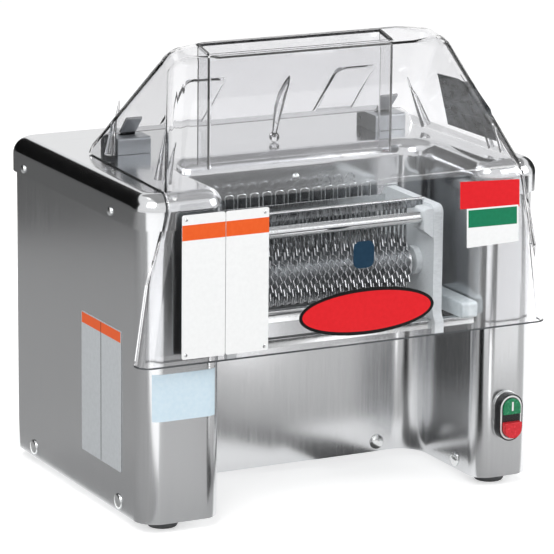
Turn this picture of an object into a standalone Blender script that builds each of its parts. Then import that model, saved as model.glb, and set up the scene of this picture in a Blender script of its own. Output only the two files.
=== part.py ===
"""Countertop meat tenderizer: a U-plan stainless housing, a hinged clear hood with a feed chute, and a lift-out
cradle that holds two geared rolls of toothed blades.

Sizes are in metres. The machine frame runs from the housing's left front bottom corner: x to the right, y to the
back, z up. An empty carries that frame, so that the model's own origin is under the middle of its box.
"""

import math

import bmesh
import bpy
from mathutils import Matrix, Vector

CLEARANCE = 0.0003  # between pieces that touch or fit into each other
ARC_STEPS = 4  # facets in a quarter turn of a bend

# Housing: one wrapped sheet round a U-shaped plan
WIDTH = 0.510
DEPTH = 0.378
HEIGHT = 0.382  # underside of the housing to the top of the lid
SHEET = 0.002
LEFT_COLUMN = 0.100
RIGHT_COLUMN = 0.077
OUTER_BEND = 0.027
COLUMN_BEND = 0.022
RECESS_BEND = 0.032
PAN_FLANGE = 0.024
PAN_BEND = 0.004

# Lid: a deep skirt and a large rolled edge
LID_OVERHANG = 0.0042
LID_SKIRT = 0.040
LID_ROLL = 0.020
LID_SHEET = 0.002

# Rubber feet
FOOT_HEIGHT = 0.012
FOOT_TOP_RADIUS = 0.020
FOOT_BOTTOM_RADIUS = 0.017
FOOT_INSET_X = 0.040
FOOT_INSET_Y = 0.035

# Fasteners that show
SKIRT_SCREW_RADIUS = 0.005
SKIRT_SCREW_DROP = 0.032  # below the top of the lid
PANEL_SCREW_RADIUS = 0.009
PANEL_SCREW_HEIGHT = 0.012
SCREW_HEAD = 0.003
SCREW_INSET = 0.068

# Hood: its outer surface, then its sheet
HOOD_WALL = 0.004
HOOD_BEND = 0.0065
HOOD_APRON = 0.195  # from the top of the lid down to the apron's foot
HOOD_MID_DROP = 0.102
HOOD_KNEE_DROP = 0.006
HOOD_FRONT = 0.013  # ahead of the housing's front face
HOOD_LOW_REACH = 0.009  # the apron's foot stands out beyond the housing's side
HOOD_MID_INSET = 0.004
HOOD_KNEE_INSET = 0.025
HOOD_BOTTOM = HEIGHT - HOOD_APRON
HOOD_MID = HEIGHT - HOOD_MID_DROP
HOOD_KNEE = HEIGHT - HOOD_KNEE_DROP
HOOD_LOW_HALF = WIDTH / 2 + HOOD_LOW_REACH
HOOD_MID_HALF = WIDTH / 2 - HOOD_MID_INSET
HOOD_KNEE_HALF = WIDTH / 2 - HOOD_KNEE_INSET
HOOD_LEAN = 0.332  # inwards for each metre up, above the knee
HOOD_TAPER = 0.0485  # inwards for each metre back, above the knee
HOOD_RIM_FRONT = 0.075
HOOD_RIM_FRONT_RISE = 0.135  # above the top of the lid
HOOD_RIM_REAR = 0.119
HOOD_RIM_REAR_RISE = 0.1455
HOOD_FOOT_REAR = 0.2352
HOOD_FOOT_RISE = 0.0235
HOOD_RIM_FRONT_HEIGHT = HEIGHT + HOOD_RIM_FRONT_RISE
HOOD_RIM_REAR_HEIGHT = HEIGHT + HOOD_RIM_REAR_RISE
HOOD_FOOT_HEIGHT = HEIGHT + HOOD_FOOT_RISE
HOOD_RETURN = 0.007  # how far the apron's ends run back beside the columns
HOOD_LID_GAP = 0.0016

# Pressed forms of the hood: two pads on its rear panel, and ribs that taper up from its lower edges
PAD_OFFSET = 0.098  # pad centre from the hood's middle
PAD_WIDTH = 0.055
PAD_FOOT = 0.008  # above the rear panel's foot, along the panel
PAD_LENGTH = 0.088
PAD_CORNER = 0.016
PAD_RISE = 0.0024
RIB_RADIUS = 0.0045
RIB_TIP = 0.0008
RIB_SIDES = 10
REAR_RIB_LENGTH = 0.086
SIDE_RIB_LENGTH = 0.044
SIDE_RIBS = (0.033, 0.200)  # where the side walls' ribs stand, from the housing's front face

# Feed chute, glued into the hood's slot
CHUTE_END = 0.019  # from the chute's right end to the cradle's right plate
CHUTE_MARGIN = 0.006  # from the chute to the folds of the hood's top
CHUTE_WALL = 0.003
CHUTE_LID_GAP = 0.004
CHUTE_RIM = 0.001
CHUTE_FRONT = HOOD_RIM_FRONT + CHUTE_MARGIN
CHUTE_DEPTH = HOOD_RIM_REAR - CHUTE_MARGIN - CHUTE_FRONT
CHUTE_BOTTOM = HEIGHT + CHUTE_LID_GAP

# Hood hinge: a block on the lid and an ear on the hood at each side
HINGE_SIDE_INSET = 0.0625  # block centre from the hood's side at its knee
HINGE_DROP = 0.01755  # from the foot of the hood's rear panel down to the hinge's axis, along the panel
HINGE_INSET = 0.00042
BLOCK_WIDTH = 0.042
BLOCK_REACH = 0.039  # from the block's front to the hinge's axis
BLOCK_HEIGHT = 0.0185
BLOCK_GAP = 0.021
BLOCK_GAP_DEPTH = 0.021
EAR_RADIUS = 0.0065
EAR_SHEET = 0.003
EAR_LENGTH = 0.050
PIN_RADIUS = 0.003

# Interlock: a steel target plate in the hood and a switch under the lid
TARGET_SHEET = 0.002
TARGET_RISE = 0.012  # above the top of the lid
TARGET_HEIGHT = 0.066
TARGET_FRONT = 0.046
TARGET_LENGTH = 0.119
TARGET_FRONT_EDGE = 0.036
TARGET_FRONT_SLANT = 0.028
TARGET_REAR_SLANT = 0.014
SENSOR_SIZE = (0.030, 0.045, 0.022)
SENSOR_INSET = 0.048
SENSOR_Y = 0.070

# Cradle: two end plates on two support bars across the recess
RECESS_RIGHT = WIDTH - RIGHT_COLUMN
BAR_SIDE = 0.010
BAR_DROP = 0.184  # from the top of the lid to the top of the support bars
BAR_TOP = HEIGHT - BAR_DROP
CRADLE_GAP = 0.006  # from the left column to the cradle
LATCH_SPACE = 0.046  # from the cradle to the right column
PLATE_LEFT = LEFT_COLUMN + CRADLE_GAP
CRADLE_LENGTH = RECESS_RIGHT - LATCH_SPACE - PLATE_LEFT
PLATE_THICKNESS = 0.012
PLATE_FRONT = 0.012
PLATE_HEIGHT = 0.137
PLATE_TOP = BAR_TOP + PLATE_HEIGHT
HOOK = 0.006
HOOK_DEPTH = 0.016
HOOK_BOTTOM = BAR_TOP - HOOK_DEPTH
BAR_INSET = 0.002
FRONT_BAR_Y = PLATE_FRONT + BAR_INSET
BOSS_DEPTH = 0.012
BOSS_HEIGHT = 0.039
BOSS_LOW = PLATE_TOP - BOSS_HEIGHT
TIE_RADIUS = 0.007
TIE_INSET = 0.013
TIE_DROP = 0.015
TIE_Y = PLATE_FRONT + TIE_INSET
TIE_Z = PLATE_TOP - TIE_DROP

# Rolls
ROLL_Y = 0.054
ROLL_RISE = 0.064
ROLL_Z = BAR_TOP + ROLL_RISE
ROLL_SPACING = 0.062
SHAFT_RADIUS = 0.009
SPACER_RADIUS = 0.019
BLADE_GAP = 0.007  # from one roll's points to the other's drum
BLADE_RADIUS = ROLL_SPACING - SPACER_RADIUS - BLADE_GAP
BLADE_BITE = 0.012
BLADE_ROOT = BLADE_RADIUS - BLADE_BITE
BLADE_PITCH = 0.0093
BLADE_HALF = 0.0009
BLADE_TEETH = 10
BLADES_INSET = 0.0165  # from the left plate to the first blade
BLADES_START = PLATE_LEFT + PLATE_THICKNESS + BLADES_INSET
BUSH_RADIUS = 0.013
BUSH_FLANGE = 0.017
BUSH_FLANGE_LENGTH = 0.008
PLATE_REAR_MARGIN = 0.022  # from the rear roll's axis to the plates' rear edge
PLATE_REAR = ROLL_Y + ROLL_SPACING + PLATE_REAR_MARGIN
REAR_HOOK = 0.016
REAR_BAR_Y = PLATE_REAR - REAR_HOOK - BAR_SIDE
RECESS_GAP = 0.017
RECESS_DEPTH = PLATE_REAR + RECESS_GAP
BLADE_ROOM = PLATE_LEFT + CRADLE_LENGTH - PLATE_THICKNESS - BUSH_FLANGE_LENGTH - BLADES_START
BLADE_COUNT = int(BLADE_ROOM / BLADE_PITCH - 0.5)

# Timing gears, between the left plate and the blades
GEAR_TEETH = 16
GEAR_WIDTH = 0.008
GEAR_ADDENDUM = 0.0032
GEAR_DEDENDUM = 0.0042
GEAR_TIP_SHARE = 0.13  # half the tooth's width at its tip, as a share of the tooth's pitch
GEAR_ROOT_SHARE = 0.33

# Combs between the blades
COMB_SHEET = 0.002
COMB_PROUD = 0.001
COMB_TOP = PLATE_TOP + COMB_PROUD
COMB_BAR = 0.016
COMB_GAP = 0.021  # from the fingers' ends up from the shafts' axes
COMB_REACH = ROLL_Z + COMB_GAP
COMB_OFFSET = 0.014  # ahead of the front shaft, and behind the rear one
COMB_FINGER = 0.003
RAIL_DROP = 0.011  # from the front comb's top to the loop rail's
RAIL_TOP = COMB_TOP - RAIL_DROP
LOOP_PITCH = 0.0163
LOOP_WIDTH = 0.0112
LOOP_HEIGHT = 0.0195
LOOP_WIRE = 0.0009
LOOPS_INSET = 0.0516  # from the left plate to the first loop
LOOPS_START = PLATE_LEFT + PLATE_THICKNESS + LOOPS_INSET
LOOP_COUNT = int((CRADLE_LENGTH - 2 * PLATE_THICKNESS - LOOPS_INSET) / LOOP_PITCH)
LOCK_ROD_RADIUS = 0.002

# Latch beside the cradle
LATCH_GAP = 0.0025
LATCH_WIDTH = 0.0215
LATCH_LEFT = RECESS_RIGHT - LATCH_GAP - LATCH_WIDTH
LATCH_HEIGHT = 0.019
LATCH_FRONT = 0.002
LATCH_LENGTH = 0.098
LATCH_PIVOT_INSET = 0.010
LATCH_PIN_RADIUS = 0.003

# Drive
COUPLING_RADIUS = 0.014
COUPLING_START = 0.066
TANG_SIDE = 0.0095
TANG_DEPTH = 0.014
GEARBOX_LEFT = 0.014
GEARBOX_RIGHT = 0.0657
MOTOR_OFFSET = 0.0045  # ahead of the middle between the recess and the rear wall
MOTOR_Y = (RECESS_DEPTH + DEPTH) / 2 - MOTOR_OFFSET
MOTOR_Z = 0.176
GEARBOX_LOBE = 0.045
MOTOR_RADIUS = 0.072
MOTOR_LENGTH = 0.235
MOTOR_CAP_RADIUS = 0.060
MOTOR_CAP_LENGTH = 0.018
SADDLE_LEFT = 0.160
SADDLE_LENGTH = 0.090
SADDLE_DEPTH = 0.120
SADDLE_RISE = 0.030
CAPACITOR_RADIUS = 0.020
CAPACITOR_LENGTH = 0.090
CONTROL_BOX_SIZE = (0.075, 0.100, 0.130)
CONTROL_BOX_INSET = 0.043  # from the rear wall
CONTROL_BOX_Y = DEPTH - CONTROL_BOX_INSET - CONTROL_BOX_SIZE[1]
CONTROL_BOX_Z = 0.120

# Push-button switch on the right column
SWITCH_INSET = 0.039
SWITCH_X = WIDTH - SWITCH_INSET
SWITCH_Z = 0.075
SWITCH_WIDTH = 0.032
SWITCH_HEIGHT = 0.057
SWITCH_DEPTH = 0.016
SWITCH_RIM = 0.0028
SWITCH_BAND = 0.009  # between the two buttons
BUTTON_TRAVEL = 0.003
BUTTON_LENGTH = 0.010
START_PROUD = 0.0015
STOP_PROUD = 0.004
NECK_WIDTH = 0.020
NECK_HEIGHT = 0.040
SWITCH_BODY_DEPTH = 0.045
SWITCH_BODY_WIDTH = 0.025
SWITCH_BODY_HEIGHT = 0.048

# Cord gland in the rear wall
GLAND_INSET = 0.070
GLAND_X = WIDTH - GLAND_INSET
GLAND_Z = 0.060
GLAND_RADIUS = 0.014
GLAND_NECK = 0.011
GLAND_REACH = 0.014

# The model's origin, under the middle of its box
SWITCH_REACH = SWITCH_DEPTH + STOP_PROUD + CLEARANCE
FRONT_Y = SWITCH_REACH - (SWITCH_REACH + DEPTH + GLAND_REACH) / 2
LID_INNER_ROLL = LID_ROLL - LID_SHEET

# Hinge axis, under the foot of the hood's rear panel
PANEL_RUN = (HOOD_RIM_REAR - HOOD_FOOT_REAR, HOOD_RIM_REAR_HEIGHT - HOOD_FOOT_HEIGHT)
PANEL_UP = Vector(PANEL_RUN).normalized()
PANEL_INWARD = Vector((-PANEL_UP.y, PANEL_UP.x))
PANEL_FOOT = Vector((HOOD_FOOT_REAR, HOOD_FOOT_HEIGHT))
HINGE_Y, HINGE_Z = PANEL_FOOT - PANEL_UP * HINGE_DROP + PANEL_INWARD * HINGE_INSET
BLOCK_FRONT = HINGE_Y - BLOCK_REACH
HINGE_OFFSET = HOOD_KNEE_HALF - HINGE_SIDE_INSET
SENSOR_X = WIDTH - SENSOR_INSET
TARGET_LOW = HEIGHT + TARGET_RISE
TARGET_HIGH = TARGET_LOW + TARGET_HEIGHT
CHUTE_LEFT = PLATE_LEFT + PLATE_THICKNESS
CHUTE_WIDTH = CRADLE_LENGTH - 2 * PLATE_THICKNESS - CHUTE_END


def clear_scene():
    for obj in list(bpy.data.objects):
        bpy.data.objects.remove(obj, do_unlink=True)


def make_collection(name, parent):
    collection = bpy.data.collections.new(name)
    parent.children.link(collection)
    return collection


clear_scene()
PARTS = make_collection("meat_tenderizer", bpy.context.scene.collection)
CUTTERS = make_collection("cutters", bpy.context.scene.collection)
FRAME = bpy.data.objects.new("machine_frame", None)
FRAME.location = (-WIDTH / 2, FRONT_Y, FOOT_HEIGHT)
PARTS.objects.link(FRAME)


def linear(channel):
    return channel / 12.92 if channel <= 0.04045 else ((channel + 0.055) / 1.055) ** 2.4


def make_material(name, colour, roughness, metallic=0.0, transmission=0.0):
    """A Principled material from an sRGB hex colour."""
    material = bpy.data.materials.new(name)
    material.use_nodes = True
    shader = material.node_tree.nodes["Principled BSDF"]
    channels = [linear(int(colour[i : i + 2], 16) / 255) for i in (0, 2, 4)]
    shader.inputs["Base Color"].default_value = (*channels, 1.0)
    shader.inputs["Roughness"].default_value = roughness
    shader.inputs["Metallic"].default_value = metallic
    shader.inputs["Transmission Weight"].default_value = transmission
    material.diffuse_color = (*channels, 1.0)
    return material


STAINLESS = make_material("brushed stainless", "B9BBBD", 0.32, 1.0)
POLISHED = make_material("polished stainless", "D2D3D5", 0.18, 1.0)
CLEAR = make_material("clear polycarbonate", "EEF2F4", 0.05, 0.0, 0.95)
WHITE_PLASTIC = make_material("white acetal", "D9DBDC", 0.45)
LATCH_PLASTIC = make_material("translucent nylon", "C3C9CC", 0.35, 0.0, 0.3)
GREY_BLOCK = make_material("grey hinge block", "8D9093", 0.45)
BLACK_RUBBER = make_material("black rubber", "2A2A2B", 0.75)
BLACK_PLASTIC = make_material("black plastic", "1B1C1E", 0.4)
GREEN_PLASTIC = make_material("green button", "1F8A5B", 0.35)
RED_PLASTIC = make_material("red button", "D8232F", 0.35)
CAST_IRON = make_material("painted casting", "5C6064", 0.55)
GEAR_NYLON = make_material("gear nylon", "E6E4DC", 0.5)


def new_object(name, mesh, material, collection=None):
    obj = bpy.data.objects.new(name, mesh)
    (collection or PARTS).objects.link(obj)
    obj.parent = FRAME
    if material:
        mesh.materials.append(material)
    return obj


def object_from(name, bm, material, collection=None):
    bmesh.ops.recalc_face_normals(bm, faces=bm.faces)
    mesh = bpy.data.meshes.new(name)
    bm.to_mesh(mesh)
    bm.free()
    mesh.shade_smooth()
    mesh.set_sharp_from_angle(angle=math.radians(35))
    return new_object(name, mesh, material, collection)


def set_origin(obj, point):
    """Moves an object's origin to a joint's axis and leaves its shape where it is."""
    obj.data.transform(Matrix.Translation(-Vector(point)))
    obj.location = point


def add_box(bm, low, high):
    made = bmesh.ops.create_cube(bm, size=1.0)
    low, high = Vector(low), Vector(high)
    size = high - low
    bmesh.ops.scale(bm, vec=size, verts=made["verts"])
    bmesh.ops.translate(bm, vec=(low + high) / 2, verts=made["verts"])


def box(name, low, high, material, bevel=0.0, collection=None):
    bm = bmesh.new()
    add_box(bm, low, high)
    obj = object_from(name, bm, material, collection)
    if bevel:
        bevel_edges(obj, bevel)
    return obj


def bevel_edges(obj, width, segments=2, angle=30):
    bevel = obj.modifiers.new("rounded edges", "BEVEL")
    bevel.width = width
    bevel.segments = segments
    bevel.limit_method = "ANGLE"
    bevel.angle_limit = math.radians(angle)
    return bevel


def solidify(obj, thickness):
    sheet = obj.modifiers.new("sheet", "SOLIDIFY")
    sheet.thickness = thickness
    sheet.offset = -1.0
    sheet.use_even_offset = True
    return sheet


def cut(obj, cutter, operation="DIFFERENCE"):
    cutter.hide_render = True
    cutter.display_type = "WIRE"
    boolean = obj.modifiers.new(cutter.name, "BOOLEAN")
    boolean.operation = operation
    boolean.object = cutter
    boolean.solver = "EXACT"
    return boolean


def add_rod(bm, start, end, radius, segments, end_radius=None):
    """A closed cylinder or cone from one point to another."""
    start, end = Vector(start), Vector(end)
    along = end - start
    turn = along.to_track_quat("Z", "Y").to_matrix().to_4x4()
    bmesh.ops.create_cone(
        bm,
        cap_ends=True,
        segments=segments,
        radius1=radius,
        radius2=radius if end_radius is None else end_radius,
        depth=along.length,
        matrix=Matrix.Translation((start + end) / 2) @ turn,
    )


def rod(name, start, end, radius, material, segments=20, end_radius=None, collection=None):
    bm = bmesh.new()
    add_rod(bm, start, end, radius, segments, end_radius)
    return object_from(name, bm, material, collection)


def rounded(corners, steps=ARC_STEPS):
    """An outline from (u, v, radius) corners, with each corner turned into an arc."""
    outline = []
    for i, (u, v, radius) in enumerate(corners):
        corner = Vector((u, v))
        if radius <= 0:
            outline.append(corner)
            continue
        before = (Vector(corners[i - 1][:2]) - corner).normalized()
        after = (Vector(corners[(i + 1) % len(corners)][:2]) - corner).normalized()
        half = before.angle(after) / 2
        centre = corner + (before + after).normalized() * (radius / math.sin(half))
        start = corner + before * (radius / math.tan(half)) - centre
        turn = math.pi - 2 * half
        if before.x * after.y - before.y * after.x > 0:
            turn = -turn
        for step in range(steps + 1):
            outline.append(centre + Matrix.Rotation(turn * step / steps, 2) @ start)
    return outline


def circle(u, v, radius, segments=20):
    angles = [2 * math.pi * i / segments for i in range(segments)]
    return [Vector((u + radius * math.cos(a), v + radius * math.sin(a))) for a in angles]


AXIS_TURNS = {
    "X": Matrix(((0, 0, 1), (1, 0, 0), (0, 1, 0))),
    "Y": Matrix(((1, 0, 0), (0, 0, -1), (0, 1, 0))),
    "Z": Matrix.Identity(3),
}


def prism_mesh(name, outlines, thickness):
    """A flat outline, with holes if it has more than one, given its thickness about its own plane."""
    curve = bpy.data.curves.new(name, "CURVE")
    curve.dimensions = "2D"
    curve.fill_mode = "BOTH"
    curve.extrude = thickness / 2
    for outline in outlines:
        spline = curve.splines.new("POLY")
        spline.points.add(len(outline) - 1)
        spline.use_cyclic_u = True
        for point, (u, v) in zip(spline.points, outline):
            point.co = (u, v, 0.0, 1.0)
    guide = bpy.data.objects.new(name, curve)
    CUTTERS.objects.link(guide)
    graph = bpy.context.evaluated_depsgraph_get()
    mesh = bpy.data.meshes.new_from_object(guide.evaluated_get(graph))
    bpy.data.objects.remove(guide)
    bpy.data.curves.remove(curve)
    return mesh


def prism(name, outlines, axis, low, high, material, collection=None):
    """A plate cut along outlines. Its outline lies in (y, z) for axis X, (x, z) for Y and (x, y) for Z."""
    mesh = prism_mesh(name, outlines, high - low)
    middle = (low + high) / 2
    if axis == "Y":
        middle = -middle
    mesh.transform(AXIS_TURNS[axis].to_4x4() @ Matrix.Translation((0, 0, middle)))
    bm = bmesh.new()
    bm.from_mesh(mesh)
    bpy.data.meshes.remove(mesh)
    bmesh.ops.remove_doubles(bm, verts=bm.verts, dist=1e-6)
    if len(outlines) == 1:
        bmesh.ops.dissolve_limit(bm, angle_limit=math.radians(1), verts=bm.verts, edges=bm.edges)
    return object_from(name, bm, material, collection)


def turned(name, profile, start, direction, material, steps=16):
    """A ring or shaft turned about an axis. The profile is (radius, distance along the axis), down its outer side."""
    mesh = bpy.data.meshes.new(name)
    points = [(radius, 0.0, along) for radius, along in profile]
    count = len(points)
    mesh.from_pydata(points, [(i, (i + 1) % count) for i in range(count)], [])
    obj = new_object(name, mesh, material)
    obj.location = start
    obj.rotation_euler = Vector(direction).to_track_quat("Z", "Y").to_euler()
    screw = obj.modifiers.new("turned", "SCREW")
    screw.axis = "Z"
    screw.steps = steps
    screw.render_steps = steps
    screw.use_merge_vertices = True
    screw.merge_threshold = 1e-5
    return obj


def loft(name, rings, material, capped=False, closed=False):
    """A skin through rings that have the same number of points, capped at its end or closed at both."""
    bm = bmesh.new()
    rows = [[bm.verts.new(point) for point in ring] for ring in rings]
    count = len(rows[0])
    for lower, upper in zip(rows[:-1], rows[1:]):
        for i in range(count):
            j = (i + 1) % count
            bm.faces.new((lower[i], lower[j], upper[j], upper[i]))
    if capped or closed:
        bm.faces.new(rows[-1])
    if closed:
        bm.faces.new(rows[0])
    return object_from(name, bm, material)


def plan(inset):
    """The housing's U outline seen from above, moved inwards by the inset."""
    left, right = LEFT_COLUMN - inset, RECESS_RIGHT + inset
    wall = RECESS_DEPTH + inset
    near, far = inset, DEPTH - inset
    west, east = inset, WIDTH - inset
    outer, column, recess = OUTER_BEND - inset, COLUMN_BEND - inset, RECESS_BEND + inset
    return rounded(
        [
            (west, near, outer),
            (left, near, column),
            (left, wall, recess),
            (right, wall, recess),
            (right, near, column),
            (east, near, outer),
            (east, far, outer),
            (west, far, outer),
        ]
    )


def plan_ring(inset, z):
    return [(u, v, z) for u, v in plan(inset)]


def body_top():
    """The wrapped sheet ends where the lid's rolled edge comes down over it."""
    reach = LID_ROLL - LID_OVERHANG
    drop = LID_ROLL - math.sqrt(LID_INNER_ROLL**2 - reach**2)
    return HEIGHT - drop - 3 * CLEARANCE


def make_housing():
    shell = loft("housing_shell", [plan_ring(0, 0.0), plan_ring(0, body_top())], STAINLESS)
    solidify(shell, SHEET)
    front = SHEET * 2
    half_neck, half_rise = NECK_WIDTH / 2 + CLEARANCE, NECK_HEIGHT / 2 + CLEARANCE
    cut(
        shell,
        box(
            "switch_hole",
            (SWITCH_X - half_neck, -front, SWITCH_Z - half_rise),
            (SWITCH_X + half_neck, front, SWITCH_Z + half_rise),
            None,
            collection=CUTTERS,
        ),
    )
    drive = (LEFT_COLUMN, ROLL_Y + ROLL_SPACING, ROLL_Z)
    reach = Vector((SHEET * 2, 0, 0))
    cut(
        shell,
        rod(
            "drive_hole",
            Vector(drive) - reach,
            Vector(drive) + reach,
            COUPLING_RADIUS + 3 * CLEARANCE,
            None,
            24,
            collection=CUTTERS,
        ),
    )
    cut(
        shell,
        rod(
            "gland_hole",
            (GLAND_X, DEPTH - front, GLAND_Z),
            (GLAND_X, DEPTH + front, GLAND_Z),
            GLAND_NECK + CLEARANCE,
            None,
            20,
            collection=CUTTERS,
        ),
    )

    inset = SHEET + CLEARANCE
    rings = [plan_ring(inset, PAN_FLANGE), plan_ring(inset, PAN_BEND), plan_ring(inset + PAN_BEND, 0.0)]
    pan = loft("base_pan", rings, STAINLESS, capped=True)
    solidify(pan, SHEET)
    return shell


def make_lid():
    rings = [plan_ring(-LID_OVERHANG, HEIGHT - LID_SKIRT)]
    for step in range(ARC_STEPS + 1):
        a = math.pi / 2 * step / ARC_STEPS
        inset = LID_ROLL * (1 - math.cos(a)) - LID_OVERHANG
        rings.append(plan_ring(inset, HEIGHT - LID_ROLL * (1 - math.sin(a))))
    lid = loft("top_cover", rings, STAINLESS, capped=True)
    solidify(lid, LID_SHEET)
    return lid


def screw_group(name, wall, places, radius, head):
    """Low heads joined to a sheet. A place is a point on the sheet and the direction out of it."""
    bm = bmesh.new()
    for point, out in places:
        out = Vector(out)
        point = Vector(point)
        add_rod(bm, point - out * SHEET / 2, point + out * head, radius, 10, end_radius=radius * 0.6)
    cut(wall, object_from(name, bm, None, CUTTERS), "UNION")


def make_screws(shell, lid):
    z = HEIGHT - SKIRT_SCREW_DROP
    front, back = SCREW_INSET + 0.012, DEPTH - SCREW_INSET + 0.016
    left, right = -LID_OVERHANG, WIDTH + LID_OVERHANG
    places = [((left, y, z), (-1, 0, 0)) for y in (front, back)]
    places += [((right, y, z), (1, 0, 0)) for y in (front, back)]
    middle = (LEFT_COLUMN + RECESS_RIGHT) / 2
    places.append(((middle, RECESS_DEPTH - LID_OVERHANG, z), (0, -1, 0)))
    places += [((x, DEPTH + LID_OVERHANG, z), (0, 1, 0)) for x in (SCREW_INSET, WIDTH - SCREW_INSET)]
    screw_group("skirt_screws", lid, places, SKIRT_SCREW_RADIUS, SCREW_HEAD)

    z = PANEL_SCREW_HEIGHT
    sides = (SCREW_INSET, DEPTH - SCREW_INSET)
    places = [((0, y, z), (-1, 0, 0)) for y in sides] + [((WIDTH, y, z), (1, 0, 0)) for y in sides]
    inner_y = RECESS_DEPTH / 3
    places += [((LEFT_COLUMN, inner_y, z), (1, 0, 0)), ((RECESS_RIGHT, inner_y, z), (-1, 0, 0))]
    edge = RECESS_BEND + 2 * PANEL_SCREW_RADIUS
    inner = (LEFT_COLUMN + edge, RECESS_RIGHT - edge)
    places += [((x, RECESS_DEPTH, z), (0, -1, 0)) for x in inner]
    places += [((x, DEPTH, z), (0, 1, 0)) for x in (SCREW_INSET, WIDTH - SCREW_INSET)]
    screw_group("panel_screws", shell, places, PANEL_SCREW_RADIUS, SCREW_HEAD)


def make_feet():
    spots = {
        "foot_front_left": (FOOT_INSET_X, FOOT_INSET_Y),
        "foot_front_right": (WIDTH - FOOT_INSET_X, FOOT_INSET_Y),
        "foot_rear_left": (FOOT_INSET_X, DEPTH - FOOT_INSET_Y),
        "foot_rear_right": (WIDTH - FOOT_INSET_X, DEPTH - FOOT_INSET_Y),
    }
    for name, (x, y) in spots.items():
        top = -CLEARANCE
        rod(name, (x, y, -FOOT_HEIGHT), (x, y, top), FOOT_BOTTOM_RADIUS, BLACK_RUBBER, 20, FOOT_TOP_RADIUS)


def hood_side(y, z):
    """Half the hood's width on its leaning side wall."""
    return HOOD_KNEE_HALF - HOOD_TAPER * (y + HOOD_FRONT) - HOOD_LEAN * (z - HOOD_KNEE)


def hood_top(y):
    """Height of the hood's top face at a depth."""
    slope = (HOOD_RIM_REAR_HEIGHT - HOOD_RIM_FRONT_HEIGHT) / (HOOD_RIM_REAR - HOOD_RIM_FRONT)
    return HOOD_RIM_FRONT_HEIGHT + slope * (y - HOOD_RIM_FRONT)


def apron_half(z):
    """Half the apron's width, between its bottom and the knee."""
    if z < HOOD_MID:
        share = (z - HOOD_BOTTOM) / (HOOD_MID - HOOD_BOTTOM)
        return HOOD_LOW_HALF + share * (HOOD_MID_HALF - HOOD_LOW_HALF)
    share = (z - HOOD_MID) / (HOOD_KNEE - HOOD_MID)
    return HOOD_MID_HALF + share * (HOOD_KNEE_HALF - HOOD_MID_HALF)


def make_hood():
    """Half of the hood's outer surface from its middle plane outwards, mirrored and given its sheet."""
    front = -HOOD_FRONT
    clear = LID_OVERHANG + HOOD_LID_GAP
    roll_y, roll_z = LID_ROLL - LID_OVERHANG, HEIGHT - LID_ROLL
    lowered = HOOD_WALL * HOOD_LEAN
    roll = LID_ROLL + HOOD_LID_GAP + lowered
    slants = [math.radians(a) for a in (40, 65)]
    skirt_foot = HEIGHT - LID_SKIRT - HOOD_LID_GAP
    rest = HEIGHT + lowered + CLEARANCE
    ends = [
        (HOOD_RETURN, HOOD_BOTTOM),
        (HOOD_RETURN - HOOD_LID_GAP, HOOD_MID),
        (-clear, skirt_foot),
        (-clear, roll_z),
        *((roll_y - roll * math.cos(a), roll_z + roll * math.sin(a)) for a in slants),
        (roll_y + LID_SHEET, rest),
        (HOOD_FOOT_REAR, rest),
    ]
    levels = [HOOD_BOTTOM, HOOD_MID, skirt_foot, roll_z, HOOD_KNEE]
    bm = bmesh.new()
    add = bm.verts.new
    middles = [add((0, front, z)) for z in levels]
    corners = [add((apron_half(z), front, z)) for z in levels]
    returns = [add((apron_half(z), y, z)) for y, z in ends[:4]]
    returns += [add((hood_side(y, z), y, z)) for y, z in ends[4:]]
    for y, z in (
        (HOOD_RIM_FRONT, HOOD_RIM_FRONT_HEIGHT),
        (HOOD_RIM_REAR, HOOD_RIM_REAR_HEIGHT),
        (HOOD_FOOT_REAR, HOOD_FOOT_HEIGHT),
    ):
        middles.append(add((0, y, z)))
        corners.append(add((hood_side(y, z), y, z)))
    for i in range(len(middles) - 1):
        bm.faces.new((middles[i], corners[i], corners[i + 1], middles[i + 1]))
    knee = len(levels) - 1
    for i in range(knee):
        bm.faces.new((corners[i], returns[i], returns[i + 1], corners[i + 1]))
    bm.faces.new(corners[knee:] + returns[:knee - 1:-1])
    hood = object_from("hood", bm, CLEAR)
    hood.location.x = WIDTH / 2
    mirror = hood.modifiers.new("other half", "MIRROR")
    mirror.merge_threshold = 1e-5
    bevel_edges(hood, HOOD_BEND, 2, 12)
    solidify(hood, HOOD_WALL)
    cut(hood, make_hood_forms(), "UNION")
    bevel_gap = CLEARANCE
    cut(
        hood,
        box(
            "feed_slot",
            (CHUTE_LEFT - bevel_gap, CHUTE_FRONT - bevel_gap, HOOD_KNEE + HOOD_WALL),
            (CHUTE_LEFT + CHUTE_WIDTH + bevel_gap, CHUTE_FRONT + CHUTE_DEPTH + bevel_gap, HOOD_RIM_REAR_HEIGHT * 1.1),
            None,
            collection=CUTTERS,
        ),
    )
    hood.data.transform(Matrix.Translation((0, -HINGE_Y, -HINGE_Z)))
    hood.location = (WIDTH / 2, HINGE_Y, HINGE_Z)
    return hood


def panel_point(x, up, inward):
    """A point by the hood's rear panel: along it from its foot, and inwards from its outer face."""
    y, z = PANEL_FOOT + PANEL_UP * up + PANEL_INWARD * inward
    return Vector((x, y, z))


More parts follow.
